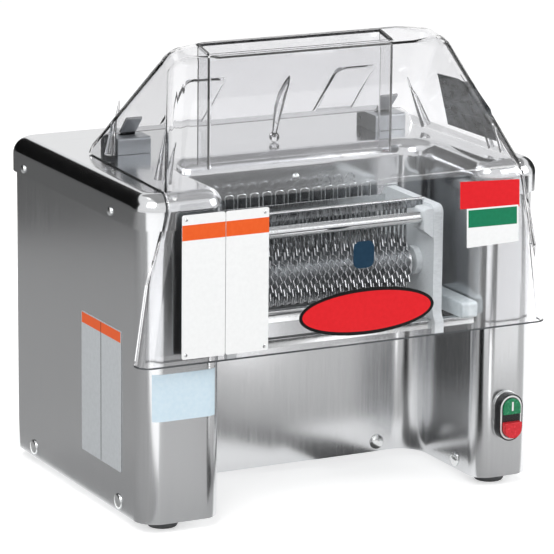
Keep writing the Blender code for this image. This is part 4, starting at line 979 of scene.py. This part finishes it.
class TENDERIZER_OT_hinges(bpy.types.Operator):
    """Machines the hinge blocks, pins and ears"""

    bl_idname = "tenderizer.hinges"
    bl_label = "Hinges"

    def execute(self, context):
        along = Vector((RIM_REAR[0] - REAR_FOOT[0], RIM_REAR[1] - REAR_FOOT[1])).normalized()
        inward = Vector((-along.y, along.x))
        axis = Vector((HINGE_Y, HINGE_Z))
        seat = (Vector(REAR_FOOT) - axis).dot(inward) + 4.3
        for side, sign in (("left", -1), ("right", 1)):
            x = MIDDLE + sign * 167.5
            bm = bmesh.new()
            front, rear = 208, HINGE_Y + 9.25
            rest, top = HEIGHT + CLEARANCE, HINGE_Z + 9.25
            half, gap = 21, 10.5
            cheek = [(front, rest), (rear, rest), (rear, top, 8), (front, top, 3)]
            web = [(front, rest), (226, rest), (226, top), (front, top, 3)]
            for corners, low, high in (
                (cheek, x - half, x - gap),
                (cheek, x + gap, x + half),
                (web, x - gap, x + gap),
            ):
                plate(bm, corners, "X", low, high)
            piece(f"hinge_block_{side}_cast", bm, "block_grey", "machine", (f"hinge_block_{side}",))
            reach = half + 0.2
            pin = f"hinge_pin_{side}"
            rod(pin, (x - reach, HINGE_Y, HINGE_Z), (x + reach, HINGE_Y, HINGE_Z), 3, 24, "rod")
            bm = bmesh.new()
            spots = ((2, seat), (50, seat), (50, seat + 3), (2, seat + 3))
            leaf = [axis + along * u + inward * v for u, v in spots]
            ear = gap - 0.6
            plate(bm, [(p.x, p.y) for p in leaf], "X", x - ear, x + ear)
            bar(bm, (x - ear, HINGE_Y, HINGE_Z), (x + ear, HINGE_Y, HINGE_Z), 6.5, 32)
            piece(f"hood_ear_{side}_leaf", bm, "lid_steel", "hood", (f"hood_ear_{side}",))
        return {"FINISHED"}


class TENDERIZER_OT_cradle(bpy.types.Operator):
    """Cuts the cradle's end plates and lays its rods and support bars"""

    bl_idname = "tenderizer.cradle"
    bl_label = "Cradle"

    def execute(self, context):
        outline = [
            (6, 182, 2),
            (13.7, 182, 2),
            (13.7, 198.3),
            (122.3, 198.3),
            (122.3, 182, 2),
            (138, 182, 2),
            (138, 335, 12),
            (12, 335, 10),
            (12, 204.3, 6),
            (6, 198.3, 4),
        ]
        thick, boss_x = 12, 363
        left, right = INNER_LEFT + CLEARANCE, INNER_RIGHT - CLEARANCE
        for side, low in (("left", INNER_LEFT - thick), ("right", INNER_RIGHT)):
            bm = bmesh.new()
            verts = plate(bm, outline, "X", low, low + thick)
            round_edges(bm, 1.2, 2, 60, verts)
            if side == "right":
                boss = [(boss_x, 306), (375.2, 296), (375.2, 331), (boss_x, 331, 4)]
                plate(bm, boss, "Y", 14, 39)
            piece(f"cradle_plate_{side}_acetal", bm, "acetal", "machine", (f"cradle_plate_{side}",))
        rod("tie_rod", (left, 25, 320), (boss_x - CLEARANCE, 25, 320), 7, 40)
        rod("lower_tie_rod", (left, 85, 212), (right, 85, 212), 5.6, 32)
        for name, y in (("front_support_bar", 14), ("rear_support_bar", 112)):
            bm = bmesh.new()
            block(bm, (LEFT_COLUMN + CLEARANCE, y, 188), (RECESS_RIGHT - CLEARANCE, y + 10, 198))
            round_edges(bm, 1, 2)
            piece(f"{name}_bright", bm, "bright_steel", "machine", (name,))
        for roll, y in ROLLS.items():
            for side, x, sign in (("left", INNER_LEFT, -1), ("right", INNER_RIGHT, 1)):
                bm = bmesh.new()
                flange = 8 if side == "right" else 2
                profile = [
                    (9.3, 11),
                    (12, 11),
                    (13, 10),
                    (13, -0.3),
                    (17, -0.3),
                    (17, -flange + 0.5),
                    (16.5, -flange),
                    (9.3, -flange),
                    (9.3, 11),
                ]
                lathe(bm, profile, (x, y, ROLL_Z), (sign, 0, 0))
                name = f"{roll}_bush_{side}"
                piece(f"{name}_turned", bm, "acetal", "machine", (name,))
        return {"FINISHED"}


class TENDERIZER_OT_rolls(bpy.types.Operator):
    """Stacks the toothed blades on the shafts of both rolls"""

    bl_idname = "tenderizer.rolls"
    bl_label = "Rolls"

    def execute(self, context):
        sizes = settings().rolls
        drum, shaft, pitch = 22, 9, in_mm(sizes.pitch)
        for order, (roll, y) in enumerate(ROLLS.items()):
            centre = Vector((0, y, ROLL_Z))
            start = FIRST_BLADE + order * pitch / 2
            bm = bmesh.new()
            bar(bm, centre + Vector((130, 0, 0)), centre + Vector((358, 0, 0)), drum, 48)
            for i in range(sizes.blades):
                spot = centre + Vector((start + i * pitch, 0, 0))
                self.add_blade(bm, spot, math.radians(11 * i), sizes)
            piece(f"{roll}_blade_stack", bm, "blade_steel", f"{roll}_roll", (f"{roll}_blades",), sharp=25)
            bm = bmesh.new()
            bar(bm, centre + Vector((105.5, 0, 0)), centre + Vector((386, 0, 0)), shaft, 36)
            if roll == "rear":
                square = 4.75
                block(bm, (91.5, y - square, ROLL_Z - square), (106, y + square, ROLL_Z + square))
            round_edges(bm, 0.6, 2, 60)
            piece(f"{roll}_shaft_bright", bm, "bright_steel", f"{roll}_roll", (f"{roll}_shaft",))
        return {"FINISHED"}

    def add_blade(self, bm, centre, phase, sizes):
        """One blade: a disc whose rim goes in and out, given its thickness."""
        count = sizes.teeth * 2
        turn = Matrix.Rotation(math.pi / 2, 4, "Y") @ Matrix.Rotation(phase, 4, "Z")
        disc = bmesh.ops.create_circle(
            bm, cap_ends=True, radius=1, segments=count, matrix=Matrix.Translation(centre) @ turn
        )["verts"]
        for i, vert in enumerate(disc):
            reach = in_mm(sizes.tip if i % 2 == 0 else sizes.root)
            vert.co = centre + (vert.co - centre) * reach
        half = in_mm(sizes.thickness) / 2
        thicken(bm, disc[0].link_faces[0], (half, 0, 0))
        bmesh.ops.translate(bm, vec=(-half, 0, 0), verts=disc)


class TENDERIZER_OT_combs(bpy.types.Operator):
    """Cuts the combs and bends the row of wire loops"""

    bl_idname = "tenderizer.combs"
    bl_label = "Combs and loops"

    def execute(self, context):
        sizes = settings().rolls
        left, right = INNER_LEFT + CLEARANCE, INNER_RIGHT - CLEARANCE
        rail_y, sheet, foot, finger = 130, 2, 283, 1.3
        for name, y, top, shift in (("front_comb", 40, 336, 0), ("rear_comb", rail_y, 316.7, 0.5)):
            bm = bmesh.new()
            block(bm, (left, y, top - 7.7), (right, y + sheet, top))
            for i in range(sizes.blades + 1):
                x = FIRST_BLADE + (i - 0.5 + shift) * in_mm(sizes.pitch)
                block(bm, (x - finger, y, foot), (x + finger, y + sheet, top - 7.2))
            piece(f"{name}_cut", bm, "plate_steel", "machine", (name,))
        rod("comb_lock_rod", (103, 44.3, 337.3), (378, 44.3, 337.3), 2, 16)
        bm = bmesh.new()
        block(bm, (left, rail_y, 317), (right, rail_y + sheet, 325))
        loops, first, pitch = 12, 169.6, 16.3
        half, thin, loop_top, y = 5.6, 0.9, 344.5, rail_y + sheet / 2
        for i in range(loops):
            x = first + i * pitch
            arch = [
                (x + half * math.cos(a), y, loop_top - thin - half + half * math.sin(a))
                for a in (math.pi * k / 10 for k in range(11))
            ]
            path = [(x + half, y, 320), *arch, (x - half, y, 320)]
            wire(bm, path, [thin] * len(path))
        piece("loop_rail_wires", bm, "bright_steel", "machine", ("loop_rail",))
        return {"FINISHED"}


class TENDERIZER_OT_latch(bpy.types.Operator):
    """Moulds the milky latch bar beside the cradle"""

    bl_idname = "tenderizer.latch"
    bl_label = "Latch"

    def execute(self, context):
        bm = bmesh.new()
        low, high = 198.3, 217.3
        corners = [(2, low, 4), (100, low, 8.5), (100, high, 8.5), (2, high, 4)]
        verts = plate(bm, corners, "X", 409, 430.5)
        round_edges(bm, 2.2, 3, 60, verts)
        piece("cradle_latch_moulding", bm, "nylon", "cradle_latch", ("cradle_latch",))
        return {"FINISHED"}


class TENDERIZER_OT_switch(bpy.types.Operator):
    """Moulds the push-button switch: a bezel with a white outline, a start button and a proud stop button"""

    bl_idname = "tenderizer.switch"
    bl_label = "Switch"

    def execute(self, context):
        x, z = 471, 75
        half, tall = 16, 28.5
        # The start button, pressed in by 3 mm, still stands 0.2 mm proud of the face panel
        layers = (
            ("switch_flange", 1.3, -2.6, -0.3, "bright_steel", 0.6),
            ("switch_bezel_moulding", 0, -12.6, -0.3, "abs_black", 1.6),
            ("switch_outline", -1.7, -12.8, -12.2, "abs_white", 0.2),
            ("switch_face_panel", -3.7, -13.0, -12.2, "abs_black", 0.1),
        )
        for name, grow, front, back, finish, soft in layers:
            bm = bmesh.new()
            verts = plate(bm, self.stadium(x, z, half + grow, tall + grow), "Y", front, back, 10)
            round_edges(bm, soft, 3, 60, verts)
            piece(name, bm, finish, "machine", ("switch_bezel",) if grow == 0 else ())
        self.add_button("start", x, z, 1, -16.2, "abs_green")
        self.add_button("stop", x, z, -1, -19.9, "abs_red")
        bm = bmesh.new()
        plate(bm, rectangle((x - 1.1, z + 9), (x + 1.1, z + 20), 0.5), "Y", -16.4, -16.1)
        piece("start_mark_inlay", bm, "abs_white", "start_button")
        return {"FINISHED"}

    def stadium(self, x, z, half, tall):
        """An upright outline whose ends are all but half circles."""
        return rectangle((x - half, z - tall), (x + half, z + tall), half * 0.999)

    def add_button(self, name, x, z, sign, face, finish):
        """Half a stadium, above or below the black band."""
        half, band, end = 11.4, 4.7, 23.8
        corners = [
            (x - half, z + sign * band, 0.8),
            (x + half, z + sign * band, 0.8),
            (x + half, z + sign * end, half * 0.98),
            (x - half, z + sign * end, half * 0.98),
        ]
        bm = bmesh.new()
        verts = plate(bm, corners, "Y", face, -12, 8)
        round_edges(bm, 0.9, 3, 60, verts)
        piece(f"{name}_button_cap", bm, finish, f"{name}_button", (f"{name}_button",))


class TENDERIZER_OT_plates(bpy.types.Operator):
    """Lays the bare plates and films on the hood, the columns and the left side"""

    bl_idname = "tenderizer.plates"
    bl_label = "Plates"

    def execute(self, context):
        out = HOOD_FRONT
        for side, low, high in (("left", 40.6, 94.2), ("right", 95.0, 148.6)):
            name = f"hood_plate_{side}"
            self.film(name, "Y", out - 0.8, out, (low, 194.5), (high, 360), 2.5, "white", "hood")
            band = ((low, 331), (high, 348.6))
            self.film(name + "_band", "Y", out - 0.9, out - 0.7, *band, 0, "orange", "hood")
        rivets = [((x, out - 0.7, z), (0, -1, 0)) for z in (355, 199.5) for x in (45.5, 143.5)]
        screw_heads("hood_plate_rivets", rivets, 2.2, 1.0, "hood")
        self.wrap_column_film()
        face, band = (-0.8, -0.2), (-0.9, -0.7)
        # The side plate's silver film is darkened in part as painted shade
        self.film("side_plate", "X", *face, (59.4, 48.3), (167.8, 214.4), 2.0, "silver", "machine")
        for low, high in ((60.4, 113.3), (114.5, 166.8)):
            name = f"side_plate_band_{low:.0f}"
            self.film(name, "X", *band, (low, 201), (high, 213.4), 0, "orange", "machine")
        self.film("side_plate_divider", "X", *band, (113.3, 49), (114.5, 213.4), 0, "black", "machine")
        quads = (
            ("red_backing", "white", 0.15, [(395.7, 364.9), (472.8, 361.2), (473.7, 330.6), (396.5, 334.6)]),
            ("red_film", "red", 0.4, [(394.7, 365.9), (473.8, 362.2), (474.7, 329.6), (395.5, 333.6)]),
            ("white_film", "white", 0.5, [(404.2, 333.2), (473.2, 332.1), (474.5, 288.4), (405.4, 286.7)]),
            ("green_band", "green", 0.6, [(406.4, 331.2), (471.2, 330.2), (471.8, 309.6), (406.9, 310.6)]),
        )
        for name, ink, depth, corners in quads:
            bm = bmesh.new()
            plate(bm, corners, "Y", out - depth, out - depth + 0.12)
            piece(name, bm, f"film_{ink}", "hood")
        self.film("blue_film", "Y", out - 0.4, out, (256.8, 277), (283.6, 308.6), 8, "blue", "hood")
        for name, shrink, depth, ink in (
            ("oval_backing", 1, 0.2, "white"),
            ("oval_rim", 0, 0.4, "black"),
            ("oval_face", 4.2, 0.6, "red"),
        ):
            bm = bmesh.new()
            place = Matrix.Translation((275.5, out - depth, 225.8)) @ Matrix.Rotation(math.pi / 2, 4, "X")
            size = Matrix.Diagonal((87.5 - shrink, 27.5 - shrink, 1, 1))
            bmesh.ops.create_circle(bm, cap_ends=True, radius=1, segments=96, matrix=place @ size)
            bm.faces.ensure_lookup_table()
            thicken(bm, bm.faces[0], (0, 0.18, 0))
            piece(name, bm, f"film_{ink}", "hood")
        return {"FINISHED"}

    def wrap_column_film(self):
        """Lays the pale film round the left column's front, onto both of its bends."""
        proud = 0.5
        left, right = OUTER_BEND + proud, COLUMN_BEND + proud
        path = [
            (OUTER_BEND - left * math.cos(a), OUTER_BEND - left * math.sin(a))
            for a in (math.radians(56.8 + 8.3 * k) for k in range(5))
        ]
        path += [
            (LEFT_COLUMN - COLUMN_BEND + right * math.sin(a), COLUMN_BEND - right * math.cos(a))
            for a in (math.radians(8.1 * k) for k in range(5))
        ]
        bm = bmesh.new()
        verts = [bm.verts.new((x, y, 121)) for x, y in path]
        edges = [bm.edges.new(pair) for pair in zip(verts[:-1], verts[1:])]
        grown = bmesh.ops.extrude_edge_only(bm, edges=edges)["geom"]
        upper = [g for g in grown if isinstance(g, bmesh.types.BMVert)]
        bmesh.ops.translate(bm, vec=(0, 0, 55), verts=upper)
        piece("column_film", bm, "film_pale", "machine", sheet=0.25)

    def film(self, name, axis, low, high, near, far, corner, ink, body):
        """A thin plate from two opposite corners of its face."""
        bm = bmesh.new()
        plate(bm, rectangle(near, far, corner), axis, low, high)
        piece(name, bm, f"film_{ink}", body)


def finish_cad_nodes():
    """Better materials on the CAD nodes that stay."""
    keep = {
        "base_pan": "wall_steel",
        "interlock_switch": "abs_black",
        "latch_pin": "bright_steel",
        "gearbox": "casting",
        "motor": "casting",
        "motor_end_bell": "casting",
        "motor_saddle": "casting",
        "start_capacitor": "abs_black",
        "control_box": "abs_black",
        "switch_body": "abs_black",
        "cord_gland": "abs_black",
        "drive_coupling": "bright_steel",
        "timing_gear_front": "gear_nylon",
        "timing_gear_rear": "gear_nylon",
    }
    for name, finish in keep.items():
        for slot in NODES[name].material_slots:
            slot.material = FINISHES[finish]


class TENDERIZER_OT_stage(bpy.types.Operator):
    """Sets the floor, the backdrop, the lamps and the camera"""

    bl_idname = "tenderizer.stage"
    bl_label = "Stage"

    def execute(self, context):
        scene = context.scene
        scene.view_settings.view_transform = "Standard"
        self.make_floor()
        self.make_world(scene)
        self.make_cards()
        self.make_lamps()
        self.make_camera(scene)
        return {"FINISHED"}

    def seen_part(self, tree):
        """One on rays that see the stage itself, or see it in glass or metal, and zero on diffuse rays."""
        path = node(tree, "LightPath")
        rays = [path.outputs[f"Is {kind} Ray"] for kind in ("Camera", "Glossy", "Transmission")]
        seen = node(tree, "Math", {0: rays[0], 1: rays[1]}, operation="MAXIMUM")
        return node(tree, "Math", {0: seen.outputs[0], 1: rays[2]}, operation="MAXIMUM").outputs[0]

    def flat_sheet(self, name, corners, finish):
        """A sheet of the stage between corners."""
        bm = bmesh.new()
        bm.faces.new([bm.verts.new(corner) for corner in corners])
        mesh = bpy.data.meshes.new(name)
        bm.to_mesh(mesh)
        bm.free()
        mesh.materials.append(finish)
        made = bpy.data.objects.new(name, mesh)
        bpy.context.scene.collection.objects.link(made)
        return made

    def make_floor(self):
        finish, shader, tree = new_finish("white_paper", settings().stage.paper, 0.9)
        power = settings().stage.glow
        glow = node(tree, "Math", {0: self.seen_part(tree), 1: power}, operation="MULTIPLY")
        shader.inputs["Emission Color"].default_value = (1, 1, 1, 1)
        tree.links.new(glow.outputs[0], shader.inputs["Emission Strength"])
        size, low = 12, -0.0005
        corners = [(-size, -size, low), (size, -size, low), (size, size, low), (-size, size, low)]
        self.flat_sheet("studio_floor", corners, finish)

    def make_world(self, scene):
        world = bpy.data.worlds.new("studio")
        scene.world = world
        world.use_nodes = True
        tree = world.node_tree
        ambient = 0.5
        strength = node(tree, "MapRange", {"Value": self.seen_part(tree), "To Min": ambient, "To Max": 1.0})
        background = tree.nodes["Background"]
        background.inputs["Color"].default_value = (1, 1, 1, 1)
        tree.links.new(strength.outputs["Result"], background.inputs["Strength"])

    def make_cards(self):
        """Studio cards that only show as reflections in the steel and at the hood's edges."""
        # The gap cards lie a little higher, in the recess's mouth, and darken its right wall
        floor, lift, ceiling = 0.003, 0.004, 1.7
        flat_cards = (
            (
                "floor_card_left",
                "A6A6A6",
                floor,
                [(-0.27, -0.4), (-0.27, 0.25), (0.5, 3.2), (-3, 3.2), (-3, -1.3)],
            ),
            ("floor_card_near", "C4C4C4", floor, [(-0.27, -0.19), (0.8, -0.19), (2, -0.9), (-0.27, -0.9)]),
            ("floor_card_far", "303030", floor, [(-0.1, -0.9), (2, -0.9), (3, -3.5), (0.5, -3.5)]),
            ("gap_card_rear", "787878", lift, [(0.06, -0.03), (0.15, -0.03), (0.12, -0.12), (0.05, -0.12)]),
            (
                "gap_card_middle",
                "989898",
                lift,
                [(0.03, -0.12), (0.12, -0.12), (0.03, -0.26), (-0.06, -0.26)],
            ),
            ("gap_card_front", "202020", lift, [(-0.12, -0.26), (0.02, -0.26), (0.06, -0.4), (-0.04, -0.4)]),
            ("ceiling_card", "B4B4B4", ceiling, [(-0.5, -1.1), (1.6, -1.1), (1.6, 1.2), (-0.5, 1.2)]),
        )
        standing_cards = (
            ("wall_card_left", "6A6A6A", 0.36, 0.0, [(-2.2, 0.3), (-0.3, 1.5)]),
            ("high_card_left", "101010", 1.6, 0.0, [(-2.19, 0.31), (0.12, 1.77)]),
            ("wall_card_right", "303030", 1.2, 0.0, [(1.9, -0.1), (1.45, 1.3)]),
            ("fin_card", "101010", 0.35, 0.0, [(-0.11, -0.27), (-0.03, -0.425)]),
            ("light_card", "FFFFFF", 0.3, 0.3, [(0.4, -0.62), (0.64, -0.62)]),
            ("stripe_card", "FFFFFF", 0.105, 1.3, [(0.15, -0.52), (0.23, -0.52)]),
        )
        cards = []
        for name, shade, high, plan in flat_cards:
            cards.append((name, shade, 0.0, [(x, y, high) for x, y in plan]))
        for name, shade, height, glow, plan in standing_cards:
            low = [(x, y, 0.0) for x, y in plan]
            cards.append((name, shade, glow, low + [(x, y, height) for x, y in reversed(plan)]))
        for name, shade, glow, corners in cards:
            finish, shader, tree = new_finish(name + "_paper", shade, 1.0)
            shader.inputs["Specular IOR Level"].default_value = 0.0
            shader.inputs["Emission Color"].default_value = (1, 1, 1, 1)
            shader.inputs["Emission Strength"].default_value = glow
            card = self.flat_sheet(name, corners, finish)
            card.visible_camera = False
            card.visible_diffuse = False
            card.visible_shadow = False

    def make_lamps(self):
        power = settings().stage.key
        lamps = (
            ("key_softbox", (-1.6, -1.5, 2.2), power, 1.4),
            ("fill_softbox", (1.9, -1.6, 1.3), power * 0.55, 1.4),
            ("top_softbox", (0.2, 0.6, 2.4), power * 0.6, 1.8),
        )
        aim = Vector((0, 0, 0.25))
        for name, place, watts, size in lamps:
            lamp = bpy.data.lights.new(name, "AREA")
            lamp.energy = watts
            lamp.size = size
            made = bpy.data.objects.new(name, lamp)
            made.location = place
            made.rotation_euler = (aim - Vector(place)).to_track_quat("-Z", "Y").to_euler()
            bpy.context.scene.collection.objects.link(made)

    def make_camera(self, scene):
        azimuth, roll = math.radians(-27.25), math.radians(0.59)
        elevation = math.radians(14.21)
        back = Vector(
            (
                math.sin(azimuth) * math.cos(elevation),
                -math.cos(azimuth) * math.cos(elevation),
                math.sin(elevation),
            )
        )
        right = Vector((math.cos(azimuth), math.sin(azimuth), 0))
        up = back.cross(right)
        across = right * math.cos(roll) + up * math.sin(roll)
        upright = up * math.cos(roll) - right * math.sin(roll)
        data = bpy.data.cameras.new("photo_view")
        focal, centre_x, centre_y, width = 3761.2, 284.6, 298.9, 554
        data.sensor_width = 36
        data.lens = focal / width * data.sensor_width
        data.shift_x = -(centre_x - width / 2) / width
        data.shift_y = (centre_y - width / 2) / width
        data.clip_end = 100
        camera = bpy.data.objects.new("photo_view", data)
        target, distance = at(255, 153, 204), 4.4426
        place = target + back * distance
        camera.matrix_world = Matrix(
            (
                (across.x, upright.x, back.x, place.x),
                (across.y, upright.y, back.y, place.y),
                (across.z, upright.z, back.z, place.z),
                (0, 0, 0, 1),
            )
        )
        bpy.context.scene.collection.objects.link(camera)
        scene.camera = camera


class TENDERIZER_PT_panel(bpy.types.Panel):
    bl_label = "Tenderizer"
    bl_space_type = "VIEW_3D"
    bl_region_type = "UI"
    bl_category = "Tenderizer"

    def draw(self, context):
        values = settings()
        for group in (values.hood, values.rolls, values.stage):
            for name in group.__annotations__:
                self.layout.prop(group, name)
        for operator in STEPS:
            self.layout.operator(operator.bl_idname)


STEPS = (
    TENDERIZER_OT_housing,
    TENDERIZER_OT_lid,
    TENDERIZER_OT_screws,
    TENDERIZER_OT_feet,
    TENDERIZER_OT_hood,
    TENDERIZER_OT_chute,
    TENDERIZER_OT_hinges,
    TENDERIZER_OT_cradle,
    TENDERIZER_OT_rolls,
    TENDERIZER_OT_combs,
    TENDERIZER_OT_latch,
    TENDERIZER_OT_switch,
    TENDERIZER_OT_plates,
    TENDERIZER_OT_stage,
)
GROUPS = (TENDERIZER_PG_hood, TENDERIZER_PG_rolls, TENDERIZER_PG_stage, TENDERIZER_PG_all)


def register():
    for made in (*GROUPS, *STEPS, TENDERIZER_PT_panel):
        bpy.utils.register_class(made)
    bpy.types.Scene.tenderizer = PointerProperty(type=TENDERIZER_PG_all)


def unregister():
    del bpy.types.Scene.tenderizer
    for made in (TENDERIZER_PT_panel, *reversed(STEPS), *reversed(GROUPS)):
        bpy.utils.unregister_class(made)


def main():
    register()
    make_finishes()
    finish_cad_nodes()
    for step in STEPS:
        group, name = step.bl_idname.split(".")
        getattr(getattr(bpy.ops, group), name)()


if __name__ == "__main__":
    main()
